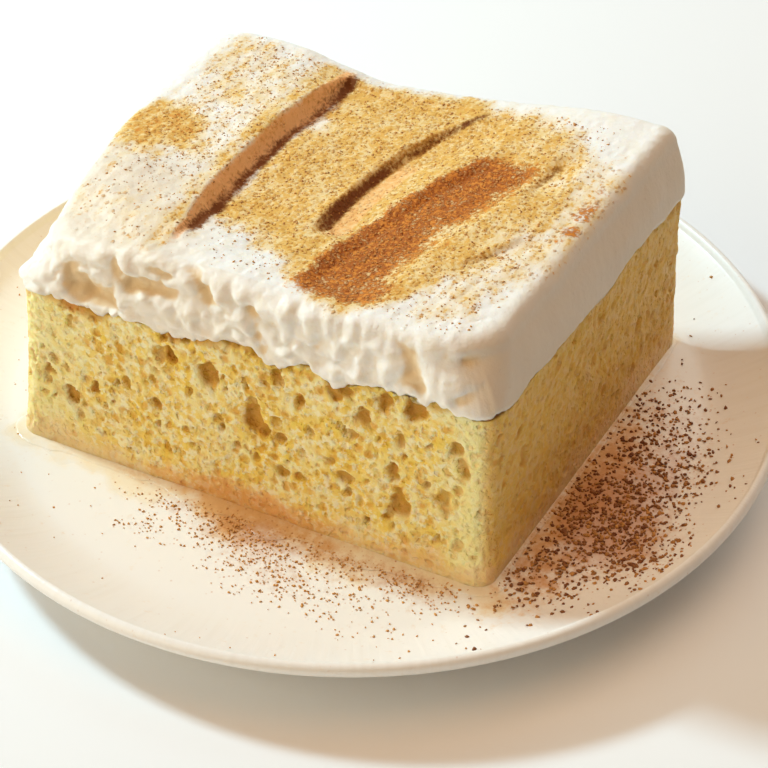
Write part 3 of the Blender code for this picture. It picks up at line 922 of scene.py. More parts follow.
    def deep_edge(self, y: np.ndarray) -> tuple[np.ndarray, np.ndarray]:
        """Middle and half width, along x, of the deep stroke's steep wall."""
        middle = -19.9 * MM + 1.1 * MM * ramp(y, 6, 20) + 2.3 * MM * ramp(-y, 8, 34)
        half = 1.45 * MM - 0.2 * MM * ramp(y, 10, 24) - 0.8 * MM * ramp(-y, 12, 32)
        return middle, half

    def deep_stroke(self, x: np.ndarray, y: np.ndarray) -> np.ndarray:
        """Share of the deep stroke's drop: its steep wall, or the wide saddle it opens into at the back."""
        saddle = ramp(x, -38, -8) * ramp(y, 18, 36)
        middle, half = self.deep_edge(y)
        wall = smooth_step(x, middle - half, middle + half) * ramp(y, -36, -12)
        return np.maximum(saddle, wall * (1 - ramp(y, 30, 35)))

    def second_stroke(self, x: np.ndarray, y: np.ndarray) -> np.ndarray:
        """Distance to the right of the second stroke's line, a parabola that bends right towards the back."""
        return x - (0.6 * MM + 0.0078 / MM * np.maximum(y + 7 * MM, 0.0) ** 2)

    def thick_band(self, x: np.ndarray, y: np.ndarray) -> np.ndarray:
        """Distance to the right of the band of thick cinnamon, whose middle is a parabola too."""
        return x - (13.7 * MM + 0.0062 / MM * np.maximum(y + 28 * MM, 0.0) ** 2)

    def outside_foot(self, x: np.ndarray, y: np.ndarray) -> np.ndarray:
        """Distance in plan from the foot's outline, negative inside it."""
        return -reach_inside(x, y, self.foot)


@dataclass
class Sponge:
    """The milk-soaked sponge, cut on four sides so that its foam of bubbles lies open.

    Attributes:
        shape: Outline of the slice.
        finish: Look of the crumb.
        columns: Steps along the front, right, back and left sides.
        rows: Steps up the sides.
        families: The bubbles, from the finest to the coarsest.
        holes: Large holes on the front face: x and z of the middle, width, height and depth, in millimetres.
    """

    shape: SliceShape
    finish: CrumbFinish = CrumbFinish()
    columns: tuple[int, int, int, int] = (276, 222, 206, 204)
    rows: int = 104
    families: tuple[Bubbles, ...] = (
        Bubbles(1.25 * MM, 0.92, (0.38 * MM, 0.78 * MM), 0.42 * MM, 1.5),
        Bubbles(2.1 * MM, 0.66, (0.50 * MM, 1.15 * MM), 0.90 * MM, 1.5),
        Bubbles(4.2 * MM, 0.32, (0.80 * MM, 1.80 * MM), 1.35 * MM, 1.6),
    )
    holes: tuple[tuple[float, float, float, float, float], ...] = (
        (-26.2, 40.2, 3.6, 1.6, 1.8),
        (-33.6, 39.0, 3.4, 2.4, 1.0),
        (-16.9, 40.4, 2.2, 2.2, 1.2),
        (-14.3, 33.8, 2.6, 7.4, 2.2),
        (-7.0, 33.0, 4.0, 6.0, 2.0),
        (-1.5, 41.8, 4.2, 3.4, 1.8),
        (-17.9, 22.7, 2.6, 2.8, 1.4),
        (-4.6, 22.5, 1.6, 2.6, 1.3),
        (1.5, 26.2, 3.4, 8.0, 1.9),
        (-1.8, 19.6, 1.8, 1.8, 1.2),
        (11.5, 42.2, 3.4, 2.8, 1.9),
        (8.6, 41.0, 2.6, 2.2, 1.2),
        (10.5, 33.4, 2.4, 3.0, 1.7),
        (6.5, 23.9, 3.0, 2.6, 1.4),
        (19.4, 39.0, 3.6, 2.4, 1.3),
        (26.3, 39.4, 3.6, 5.0, 2.0),
        (31.6, 39.6, 3.4, 6.2, 2.2),
        (22.4, 33.8, 3.2, 5.0, 1.6),
        (29.0, 32.2, 1.8, 2.8, 1.2),
        (40.6, 30.2, 2.8, 6.0, 1.9),
        (27.8, 25.3, 2.6, 5.4, 1.5),
        (29.4, 18.6, 4.4, 6.0, 1.6),
        (36.5, 22.8, 4.2, 4.4, 1.2),
        (7.0, 16.7, 2.6, 2.8, 1.3),
        (19.0, 20.6, 4.4, 2.8, 1.3),
    )

    def large_holes(self, points: np.ndarray) -> np.ndarray:
        """Depth of the large holes: a bowl over each ragged ellipse, deepest in its middle."""
        ragged = 0.70 * noise(points, 1.7 * MM, 301, 2)
        front = ramp(-points[..., 1], 33, 38)
        depth = np.zeros(points.shape[:-1])
        for x, z, wide, tall, deep in self.holes:
            reach = np.hypot((points[..., 0] / MM - x) / (wide / 2), (points[..., 2] / MM - z) / (tall / 2))
            bowl = 0.85 * deep * MM * smooth_step(1.25 - reach - ragged, 0.0, 0.95)
            depth = np.maximum(depth, bowl * front)
        return depth

    def build(self) -> bpy.types.Object:
        """Rings up the side, pushed in along their normals by the bubbles, with a fan below and above.

        Returns:
            The sponge, dressed and riding on its body.
        """
        shape = self.shape
        uv = side_places(*self.columns)
        shares = np.linspace(0.0, 1.0, self.rows + 1)
        line = shape.layer_line(shape.sponge_plan(uv, 1.0))
        base = shape.floor_z + 0.05 * MM
        rings = [np.column_stack([shape.sponge_plan(uv, share), base + share * line]) for share in shares]
        points = np.stack(rings)
        normals = grid_normals(points)
        warped = points + 0.75 * MM * np.stack([noise(points, 1.8 * MM, 40 + k) for k in range(3)], axis=-1)
        depth = self.large_holes(points)
        for number, family in enumerate(self.families):
            depth = np.maximum(depth, cut_bubbles(warped, normals, family, 100 + 10 * number))
        swell = 0.55 * MM * noise(points, 9 * MM, 51, 2) + 0.14 * MM * noise(points, 0.8 * MM, 61, 2)
        height = points[..., 2] - shape.floor_z
        settle = ramp(height, 0, 2.5)[..., None]
        soak = ramp(7.5 * MM + 3.5 * MM * noise(points, 5 * MM, 71, 2) - height, 0, 6)
        # wet paints shade by face: full on the right face, out of the key light, 0.45 on the left face; it
        # also closes bubbles there.
        wet = smooth_step(normals[..., 0], 0.35, 0.85) + 0.45 * smooth_step(-normals[..., 0], 0.35, 0.85)
        facing = smooth_step(-normals[..., 1], 0.3, 0.8)
        # corner and edge mark where edge_glow paints light on the crumb, and where fewer bubbles open.
        corner = ramp(points[..., 0], 35, 42) * facing
        edge = ramp(-points[..., 0], 26, 44) * facing
        closed = (1.0 - 0.75 * soak) * (1.0 - 0.40 * wet) * (1.0 - 0.35 * corner - 0.2 * edge)
        moved = points - normals * ((depth * closed)[..., None] - swell[..., None]) * settle
        front = ramp(-points[..., 1], 34, 39)
        washed = 1.35 * bell(points[..., 0], 0, 20) * ramp(8.5 * MM - height, 0, 7)
        # The same tint as an orange-brown patch high on the left of the front, just under the cream.
        washed = washed + 0.9 * bell(points[..., 0], -33, 3) * bell(height, 33, 2)
        # The painted shadow of the cream on the crumb's top rows, in patches. pore_shade adds it to the
        # bubbles' depth, which paints shade in the pores.
        patchy = smooth_step(noise(points, 6 * MM, 81, 2), -0.35, 0.5)
        under = 0.75 * smooth_step(1.0 - shares[:, None], 0.10, 0.0) * patchy
        pore_shade = depth * closed / (1.5 * MM) + under * front
        count = points.shape[1]
        lid_z = base + shape.sponge_height - 1.5 * MM
        lid = np.column_stack([rings[-1][:, :2] * 0.95, np.full(count, lid_z)])
        middles = np.array([[0.0, 0.0, base], [0.0, 0.0, lid_z]])
        vertices = np.concatenate([moved.reshape(-1, 3), lid, middles])
        spare = np.zeros(count + 2)
        kinds = {"pore_shade": pore_shade, "wet": wet, "soak": soak, "stain": front * washed, "edge_glow": edge + corner}
        values = {key: np.concatenate([numbers.ravel(), spare]) for key, numbers in kinds.items()}
        total = len(vertices)
        triangles = [
            fan_triangles(0, count, total - 2, facing_up=False),
            fan_triangles((self.rows + 1) * count, count, total - 1, facing_up=True),
        ]
        quads = band_quads(self.rows + 2, count)
        sponge = mesh_object("sponge_crumb", vertices, quads, np.concatenate(triangles), values)
        sponge.data.materials.append(self.finish.material())
        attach(sponge, BODY)
        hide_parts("sponge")
        return sponge


@dataclass
class WhippedCream:
    """The layer of whipped cream: torn and lumpy on the front face, smooth on the others, swept on top.

    Attributes:
        shape: Outline of the slice.
        finish: Look of the cream.
        grid: Steps along x and y.
        rows: Steps up the side.
        edge_rows: Steps over the rounded top edge.
        overhang: How far the side stands out past the sponge.
        creases: Torn grooves on the front face: x and z at both ends, width and depth, in millimetres.
        dusted: Outline of the dusted part of the top, in millimetres.
        half_side: Mean half side, which turns the edge's radius into a share of the outline.
        short_marks: Cinnamon in the short strokes: ends as x and y, width and thickness, in millimetres.
    """

    shape: SliceShape
    finish: CreamFinish = CreamFinish()
    grid: tuple[int, int] = (244, 204)
    rows: int = 26
    edge_rows: int = 10
    overhang: float = 0.9 * MM
    creases: tuple[tuple[float, float, float, float, float, float], ...] = (
        (-11.0, 53.0, -6.2, 48.6, 1.0, 1.6),
        (-21.5, 46.6, -14.0, 47.4, 1.3, 1.6),
        (-17.5, 50.6, -14.5, 50.2, 0.8, 0.9),
        (-33.0, 42.8, -26.0, 42.6, 1.8, 2.0),
        (-33.0, 45.8, -29.5, 42.8, 1.1, 1.2),
        (-24.5, 49.6, -23.5, 47.0, 0.8, 0.9),
        (1.5, 48.5, 4.0, 43.0, 1.0, 0.9),
        (30.4, 46.8, 32.5, 44.6, 1.4, 1.0),
        (39.0, 44.2, 41.5, 45.6, 1.1, 0.8),
    )
    dusted: tuple[tuple[float, float], ...] = (
        (-18.0, -19.0),
        (-6.0, -26.5),
        (8.0, -37.0),
        (17.0, -37.0),
        (30.0, -24.0),
        (37.5, -8.0),
        (40.5, 6.0),
        (39.5, 20.0),
        (31.0, 30.5),
        (12.0, 35.0),
        (-17.0, 33.0),
    )
    half_side: float = 42 * MM
    short_marks: tuple[tuple[float, ...], ...] = (
        (30.1, 9.5, 31.5, 18.5, 0.9, 0.5),
        (29.9, -14.4, 34.5, -6.7, 0.6, 0.5),
    )

    def side_relief(self, points: np.ndarray) -> np.ndarray:
        """How far the side stands out: lumps, upright folds and creases in front, faint waves elsewhere."""
        x, y, z = np.moveaxis(points, -1, 0)
        torn = ramp(-y, 30, 37) * (1 - 0.75 * ramp(x, 38, 43))
        lumps = np.abs(noise(points, (4.6 * MM, 4.6 * MM, 3.6 * MM), 201, 2))
        knobs = np.abs(noise(points, (2.2 * MM, 2.2 * MM, 1.9 * MM), 211, 2))
        folds = noise(points, (2.0 * MM, 9 * MM, 13 * MM), 221, 1) * bell(x, 17, 14)
        relief = 2.1 * lumps + 0.6 * knobs + 0.8 * folds - 0.5
        cove = bell(z, 49.6, 2.4) * ramp(x, 24, 34)
        relief = (relief * (1 - 0.5 * ramp(x, 22, 34)) - 0.8 * cove) * MM
        for x0, z0, x1, z1, wide, deep in self.creases:
            run = np.array([x1 - x0, z1 - z0])
            t = np.clip(((x / MM - x0) * run[0] + (z / MM - z0) * run[1]) / (run @ run), 0.0, 1.0)
            off = np.hypot(x / MM - x0 - t * run[0], z / MM - z0 - t * run[1])
            off = off + 0.5 * noise(points, 2 * MM, 231)
            relief = relief - deep * MM * np.exp(-((off / wide) ** 2))
        calm = 0.28 * MM * noise(points, (9 * MM, 9 * MM, 5 * MM), 241, 2)
        calm = calm + 0.05 * MM * noise(points, 1.2 * MM, 251, 2)
        return torn * relief + (1 - torn) * calm

    def top_ripple(self, x: np.ndarray, y: np.ndarray) -> np.ndarray:
        """Fine relief of the top: streaks along the strokes, soft swells, and grain under the cinnamon."""
        lean = x - 0.10 * y
        flat = np.stack([lean, y, np.zeros_like(x)], axis=-1)
        streaks = 0.09 * noise(flat, (1.3 * MM, 14 * MM, 1.0), 261, 2)
        streaks = streaks + 0.16 * noise(flat, (3.4 * MM, 24 * MM, 1.0), 262)
        lumpy = ramp(-y - 0.25 * x, 10, 24) * ramp(-x, 4, 18)
        swells = 0.35 * noise(flat, 9 * MM, 263, 2) + 0.45 * lumpy * noise(flat, 3.6 * MM, 265, 2)
        grain = 0.15 * noise(flat, 1.0 * MM, 264, 2)
        return (streaks + swells + grain * (1 - self.smooth_places(x, y))) * MM

    def smooth_places(self, x: np.ndarray, y: np.ndarray) -> np.ndarray:
        """Where the knife left the cream smooth: the deep stroke's wall, and a strip right of the second."""
        middle, half = self.shape.deep_edge(y)
        wall = bump_at(x, middle, half * 1.1) * ramp(y, -32, -22) * ramp(-y, -33, -26)
        s = self.shape.second_stroke(x, y)
        strip = ramp(s, 0.4, 1) * ramp(-s, -4.6, -3.6)
        strip = strip * ramp(y, -18, -12) * ramp(-y, -26, -14)
        return np.maximum(wall, strip)

    def dusting(self, x: np.ndarray, y: np.ndarray) -> dict[str, np.ndarray]:
        """How thick the cinnamon lies on the top, by kind, from 0 to 1.

        Args:
            x: Places along the front face.
            y: Places towards the back.

        Returns:
            gold for the fine dusting, brown for thick cinnamon, tan for cream that the knife tinted
            and for painted shade on the deep stroke's wall, and crease_dust_and_shade for cinnamon along the
            strokes with painted shadow at their foot.
        """
        flat = np.stack([x, y, np.zeros_like(x)], axis=-1)
        cloud, rough = noise(flat, 7 * MM, 271, 3), noise(flat, 2.2 * MM, 272, 2)
        middle, half = self.shape.deep_edge(y)
        right = smooth_step(x, middle - half, middle + half)
        shore = reach_inside(x, y, self.dusted) + 2.2 * MM * cloud + 1.0 * MM * rough
        pale = ramp(x, 20, 34)
        gold = right * ramp(shore, -3.5, 6) * (0.90 - 0.26 * pale + 0.35 * cloud)
        haze = (0.46 + 0.14 * rough) * pale * ramp(28 * MM - y, 0, 14)
        gold = np.maximum(gold, haze * ramp(shore, -10, -3))
        left = 0.6 * ramp(y + 0.25 * x, -50, -36) + 0.5 * ramp(y + 0.25 * x, -22, -8)
        left = (1 - right) * left * ramp(36 * MM - y, 0, 6)
        gold = gold + left * ramp(x, -46, -40) * np.clip(0.35 + 0.36 * cloud, 0.0, 1.0)
        patch = np.hypot((x + 39 * MM) / (10 * MM), (y + 3 * MM) / (9 * MM)) + 0.35 * rough
        gold = gold + 0.85 * smooth_step(1.3 - patch, 0.0, 0.9)
        s = self.shape.thick_band(x, y) + 2.0 * MM + 1.3 * MM * rough
        ends = ramp(y, -38, -31) * (1 - ramp(y, 13, 19))
        right_side = 8.4 * MM - 2.6 * MM * ramp(y, -8, 14) + 1.4 * MM * cloud
        band = ramp(s, -7.4, -4.6) * ramp(right_side - s, -4.6, 4.6) * ends
        brown = band * (0.92 + 0.25 * cloud) + 0.34 * smooth_step(1.15 - patch, 0.0, 0.8)
        rim = np.hypot((x - 41.0 * MM) / (1.8 * MM), (y - 4.0 * MM) / (9.0 * MM)) + 0.8 * rough
        brown = brown + 0.7 * smooth_step(1.2 - rim, 0.0, 0.9)
        back = ramp(y, -35, -29) * ramp(35 * MM - y, 0, 4)
        below = 1 - smooth_step(x, middle + half, middle + half + MM)
        blunt = ramp(y, -34, -22)
        # Painted shade on the deep stroke's wall, which faces away from the key light, laid on as tan.
        shaded_wall = smooth_step(x, middle - 1.1 * half, middle - 0.1 * half)
        tan = 0.95 * shaded_wall * below * back * (0.5 + 0.5 * blunt)
        shaded = 0.16 * smooth_step(x, middle - 0.3 * half, middle + 1.2 * half) * below
        # The dark line at the foot of the deep stroke's wall: cinnamon gathered there, widened by painted
        # shadow.
        foot_dust_and_shade = (0.25 + 0.65 * blunt) * bump_at(x, middle + half + 0.3 * MM, 1.3 * MM)
        crease_dust_and_shade = np.maximum(foot_dust_and_shade, shaded * blunt) * back
        bank = bump_at(x, middle - half - 1.1 * MM, 1.7 * MM)
        bank = bank + 0.7 * bump_at(x, middle + half + 2.2 * MM, 1.6 * MM)
        gold = gold + bank * back * (0.32 + 0.40 * rough)
        s = self.shape.second_stroke(x, y)
        reach = ramp(y, -17, -12) * ramp(33 * MM - y, 0, 4)
        thin = 0.66 + 0.34 * ramp(12 * MM - y, 0, 8)
        wide = (1.0 + 0.5 * ramp(-y, 0, 12)) * MM
        # The second stroke's line: cinnamon and painted shadow below its step.
        crease_dust_and_shade = np.maximum(crease_dust_and_shade, thin * bump_at(s, 0.2 * MM, wide) * reach)
        strip = ramp(s, 0.8, 1.6) * ramp(5.6 * MM - s, 0, 1.2)
        strip = strip * ramp(y, -19, -14) * ramp(16 * MM - y, 0, 8)
        tan = np.maximum(tan, 0.46 * strip)
        for *ends, width, size in self.short_marks:
            s, fade = self.shape.short_line(x, y, ends, 2)
            crease_dust_and_shade = np.maximum(crease_dust_and_shade, size * bell(s + 0.5 * MM * rough, 0, width) * fade)
        kinds = {"gold": gold, "brown": brown, "tan": tan, "crease_dust_and_shade": crease_dust_and_shade * (0.9 + 0.4 * cloud)}
        return {key: np.clip(numbers, 0.0, 1.0) for key, numbers in kinds.items()}

    def surface(self, x: np.ndarray, y: np.ndarray) -> np.ndarray:
        """Height of the finished top, in the shared frame."""
        return self.shape.floor_z + self.shape.cream_top(x, y) + self.top_ripple(x, y)

    def build(self) -> bpy.types.Object:
        """A ring under the cream, rings up its side and over its edge, and a grid that shares the last ring.

        The side runs straight from the layer line to the top outline, bulges by a sine of its share, and gets
        its relief along the outward direction. Over the edge the outline shrinks by a cosine while the height
        rises by a sine, and the side's relief gives way to the top's.

        Returns:
            The cream, dressed and riding on its body.
        """
        shape = self.shape
        nx, ny = self.grid
        uv = side_places(nx, ny, nx, ny)
        low = shape.plan(uv, shape.corners("layer"), shape.sponge_round)
        line = shape.layer_line(low)
        flat = np.column_stack([low, np.zeros(len(low))])
        ragged = 1.5 * noise(flat, 2.4 * MM, 281, 3) + 0.8 * noise(flat, 1.3 * MM, 283, 2)
        torn = ramp(-low[:, 1], 30, 37)
        line = line - (0.25 + (0.25 + 0.75 * torn) * ragged) * MM
        top, inset = shape.corners("top"), shape.corners("top") * (1 - shape.edge_radius / self.half_side)
        rounds = np.array(shape.sponge_round), np.array(shape.cream_round)
        rings = [np.column_stack([low * 0.96, np.full(len(low), shape.sponge_height - 0.5 * MM)])]
        rings.append(np.column_stack([low * 0.997, line]))
        weights = [0.0, 0.0]
        for share in np.linspace(0.05, 1.0, self.rows):
            corners = shape.corners("layer") + (top - shape.corners("layer")) * share
            ring = shape.plan(uv, corners, tuple(rounds[0] * (1 - share) + rounds[1] * share))
            crown = shape.cream_top(*ring.T) - shape.edge_radius
            rings.append(np.column_stack([ring, line + (crown - line) * share]))
            weights.append(math.sin(math.pi / 2 * min(1.0, 6 * share)))
        for turn in np.radians(np.linspace(0, 90, self.edge_rows + 1)[1:]):
            corners = inset + (top - inset) * math.cos(turn)
            ring = shape.plan(uv, corners, tuple(rounds[1]))
            rise = shape.cream_top(*ring.T) - shape.edge_radius * (1 - math.sin(turn))
            rise = rise + self.top_ripple(*ring.T) * math.sin(turn) ** 2
            rings.append(np.column_stack([ring, rise]))
            weights.append(math.cos(turn))
        points = np.stack(rings) + np.array([0.0, 0.0, shape.floor_z])
        along = np.roll(points, -1, axis=1) - np.roll(points, 1, axis=1)
        out = np.stack([along[..., 1], -along[..., 0], np.zeros(along.shape[:2])], axis=-1)
        out = out / np.linalg.norm(out, axis=-1, keepdims=True)
        weight = np.array(weights)[:, None]
        climbed = np.clip(0.2 + 0.8 * np.arange(len(rings)) / (self.rows + 2), 0, 1)
        bulge = self.overhang * np.sin(np.pi * climbed)
        relief = self.side_relief(points) * weight + bulge[:, None] * weight
        # deep marks the hollows of the relief, where fold paints shade.
        deep = ramp(-self.side_relief(points), 0.1, 0.9) * weight
        points = points + out * relief[..., None]
        count = len(uv)
        steps = np.meshgrid(np.arange(1, nx), np.arange(1, ny), indexing="ij")
        inside = np.stack(steps, axis=-1).reshape(-1, 2)
        middle = shape.plan(inside / np.array([nx, ny]) * 2.0 - 1.0, inset, tuple(rounds[1]))
        floor_middle = np.array([[0.0, 0.0, shape.floor_z + shape.sponge_height - 0.5 * MM]])
        grid = np.column_stack([middle, self.surface(*middle.T)])
        vertices = np.concatenate([points.reshape(-1, 3), grid, floor_middle])
        quads = np.concatenate([band_quads(len(rings), count), self.top_quads(len(rings), count)])
        fan = fan_triangles(0, count, len(vertices) - 1, facing_up=False)
        dust = self.dusting(vertices[:, 0], vertices[:, 1])
        level = np.concatenate([np.repeat(1 - np.array(weights) ** 2, count), np.ones(len(grid)), [0.0]])
        level[: 2 * count] = 0.0
        values = {key: numbers * level for key, numbers in dust.items()}
        values["fold"] = np.concatenate([deep.ravel(), np.zeros(len(grid) + 1)])
        # lee_shade paints shade: full on the right face, faint on the left of the front face, and on the top
        # by the torn front-left edge.
        right = smooth_step(out[..., 0], 0.35, 0.85) * weight
        x, y = vertices[:, 0], vertices[:, 1]
        torn_edge = ramp(-y - 0.25 * x, 10, 24) * ramp(-x, 8, 20) * level
        face = np.maximum(right, 0.4 * smooth_step(-out[..., 1], 0.3, 0.8) * ramp(-points[..., 0], -12, 8))
        values["lee_shade"] = np.maximum(np.concatenate([face.ravel(), np.zeros(len(grid) + 1)]), 0.9 * torn_edge)
        cream = mesh_object("swept_cream", vertices, quads, fan, values)
        cream.data.materials.append(self.finish.material())
        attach(cream, BODY)
        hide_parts("whipped_cream")
        return cream

    def top_quads(self, rows: int, count: int) -> np.ndarray:
        """Faces of the top grid, whose border is the last ring and whose inner points follow it."""
        nx, ny = self.grid
        number = np.zeros((nx + 1, ny + 1), int)
        last = (rows - 1) * count
        number[:nx, 0] = last + np.arange(nx)
        number[nx, :ny] = last + nx + np.arange(ny)
        number[nx:0:-1, ny] = last + nx + ny + np.arange(nx)
        number[0, ny:0:-1] = last + 2 * nx + ny + np.arange(ny)
        number[1:nx, 1:ny] = rows * count + np.arange((nx - 1) * (ny - 1)).reshape(nx - 1, ny - 1)
        a, b, c, d = number[:-1, :-1], number[1:, :-1], number[1:, 1:], number[:-1, 1:]
        return np.stack([a, b, c, d], axis=-1).reshape(-1, 4)


@dataclass
class Plate:
    """A turned stoneware plate with a flat floor, a low lip and a foot ring.

    Attributes:
        shape: Outline of the slice on it.
        finish: Look of the glaze.
        radius: Outer radius.
        well: Radius of the flat floor.
        lip_rise: Height of the lip above the floor.
        lip_thickness: Thickness at the lip.
        foot: Inner radius, outer radius and height of the foot ring.
        segments: Steps round the plate.
        wobble: Rise and fall of the lip.
        belly: Radius and height that the curve of the underside bends towards.
        lip_turns: Directions from the lip's middle, in degrees, where its round edge starts and ends.
        upper_from: Height above which a point belongs to the upper face.
        heaps: Heaps of cinnamon: x and y of the middle, reach along x and y in millimetres, and thickness.
        strays: Thickness of what lies everywhere.
    """

    shape: SliceShape
    finish: StonewareFinish = StonewareFinish()
    radius: float = 80 * MM
    well: float = 65 * MM
    lip_rise: float = 7.0 * MM
    lip_thickness: float = 2.6 * MM
    foot: tuple[float, float, float] = (43 * MM, 47 * MM, 2.2 * MM)
    segments: int = 420
    wobble: float = 0.25 * MM
    belly: tuple[float, float] = (68 * MM, 3.2 * MM)
    lip_turns: tuple[float, float] = (-55.0, 105.0)
    upper_from: float = 5.9 * MM
    heaps: tuple[tuple[float, float, float, float, float], ...] = (
        (57, -15, 8, 12, 0.85),
        (61, 3, 8, 12, 0.50),
        (65, -20, 7, 10, 0.40),
        (57, 18, 7, 8, 0.22),
        (51, -33, 7, 7, 0.50),
        (52, -6, 4, 22, 0.30),
        (1, -46, 9, 4.0, 0.9),
        (19, -45, 14, 3.6, 0.75),
        (10, -53, 12, 5, 0.45),
        (-13, -46, 6, 3, 0.35),
        (36, -44, 8, 4, 0.5),
        (-14, -53, 4, 2.5, 0.3),
        (28, -54, 12, 5, 0.15),
    )
    strays: float = 0.006

    def lip_height(self, r: np.ndarray) -> np.ndarray:
        """Height of the upper face above the floor: flat, then a power of 1.6 up to the lip."""
        return self.lip_rise * np.clip((r - self.well) / (self.radius - self.well), 0.0, 1.0) ** 1.6

    def sway(self, x: np.ndarray, y: np.ndarray) -> np.ndarray:
        """Rise and fall of the lip round the plate: two sines that grow from the well outwards."""
        share, turn = smooth_step(np.hypot(x, y), self.well, self.radius), np.arctan2(y, x)
        return self.wobble * share * (np.sin(2 * turn + 0.7) + 0.5 * np.sin(4 * turn))

    def surface(self, x: np.ndarray, y: np.ndarray) -> np.ndarray:
        """Height of the plate's upper face, in the shared frame."""
        return self.shape.floor_z + self.lip_height(np.hypot(x, y)) + self.sway(x, y)

    def section(self) -> np.ndarray:
        """Half section, radius and height, from the underside's middle round the lip to the floor."""
        inner, outer, soffit = self.foot
        half = self.lip_thickness / 2
        lip_r, lip_z = self.radius - half, self.shape.floor_z + self.lip_rise - half
        ring = [(0.0, soffit), (inner - 1.4 * MM, soffit), (inner - 0.4 * MM, 1.2 * MM), (inner, 0.25 * MM)]
        ring += [(inner + 0.4 * MM, 0.0), (outer - 0.4 * MM, 0.0), (outer, 0.3 * MM)]
        ring += [(outer + 0.8 * MM, 1.5 * MM), (outer + 2 * MM, soffit)]
        start = np.radians(self.lip_turns[0])
        edge = (lip_r + half * math.cos(start), lip_z + half * math.sin(start))
        t = np.linspace(0, 1, 14)[:, None]
        from_foot, to_lip = (1 - t) ** 2 * np.array(ring[-1]), t**2 * np.array(edge)
        belly = from_foot + 2 * t * (1 - t) * np.array(self.belly) + to_lip
        turns = np.radians(np.linspace(*self.lip_turns, 12))[1:]
        lip = np.column_stack([lip_r + half * np.cos(turns), lip_z + half * np.sin(turns)])
        r = np.linspace(lip_r - 0.6 * MM, 30 * MM, 92)
        upper = np.column_stack([r, self.shape.floor_z + self.lip_height(r)])
        return np.concatenate([np.array(ring), belly[1:], lip, upper])

    def cinnamon(self, x: np.ndarray, y: np.ndarray) -> np.ndarray:
        """How thick cinnamon lies on the plate: soft heaps right of the cake and in front, 1 at most."""
        total = self.strays * np.ones_like(x)
        for x0, y0, wide, deep, size in self.heaps:
            total = total + size * np.exp(-(((x / MM - x0) / wide) ** 2) - ((y / MM - y0) / deep) ** 2)
        return np.clip(total, 0.0, 1.0)

    def spill(self, x: np.ndarray, y: np.ndarray) -> dict[str, np.ndarray]:
        """How thick milk, washed crumb and cinnamon lie beside the cake, falling off from its foot; right of
        it they also paint shade.
        """
        away = self.shape.outside_foot(x, y)
        cloud = noise(np.stack([x, y, np.zeros_like(x)], axis=-1), 6 * MM, 291, 2)
        front = ramp(-y, 30, 44)
        wet = front * (0.35 + 0.65 * bell(x, 8, 26))
        milk = smooth_step((2.5 + 9.0 * wet) * MM * (1 + 0.5 * cloud) - away, 0.0, (3.5 + 6.0 * wet) * MM)
        near = ramp((1.5 + 6.5 * wet) * MM * (1 + 0.7 * cloud) - away, 0, 6)
        wash_and_shade = near * (0.25 + 0.85 * front * bell(x, 0, 17))
        # Painted shade and brown reflection on the plate by the cake's right foot, laid on as caramel wash
        # and extra powder.
        right = ramp(x, 42, 50) * bell(y, -12, 30)
        wash_and_shade = wash_and_shade + 1.05 * right * ramp(14 * MM * (1 + 0.4 * cloud) - away, 0, 11)
        return {"milk": milk, "wash_and_shade": wash_and_shade, "powder": self.cinnamon(x, y) * (1 + 0.5 * right)}

    def build(self) -> bpy.types.Object:
        """Turns the section round Z, and closes it with a fan above and below.

        Returns:
            The plate, dressed and riding on its body.
        """
        section = self.section()
        turn = np.arange(self.segments) / self.segments * math.tau
        r, z = section[1:, :1], section[1:, 1:]
        x, y = r * np.cos(turn), r * np.sin(turn)
        points = np.stack([x, y, z + self.sway(x, y)], axis=-1)
        ends = np.array([[0.0, 0.0, section[0, 1]], [0.0, 0.0, self.shape.floor_z]])
        vertices = np.concatenate([points.reshape(-1, 3), ends])
        rows, total = len(section) - 1, len(vertices)
        triangles = np.concatenate(
            [
                fan_triangles(0, self.segments, total - 2, facing_up=False),
                fan_triangles((rows - 1) * self.segments, self.segments, total - 1, facing_up=True),
            ]
        )
        over = (vertices[:, 2] > self.upper_from).astype(float)
        values = {key: over * numbers for key, numbers in self.spill(vertices[:, 0], vertices[:, 1]).items()}
        plate = mesh_object("stoneware_plate", vertices, band_quads(rows, self.segments), triangles, values)
        plate.data.materials.append(self.finish.material())
        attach(plate, BODY)
        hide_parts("plate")
        return plate


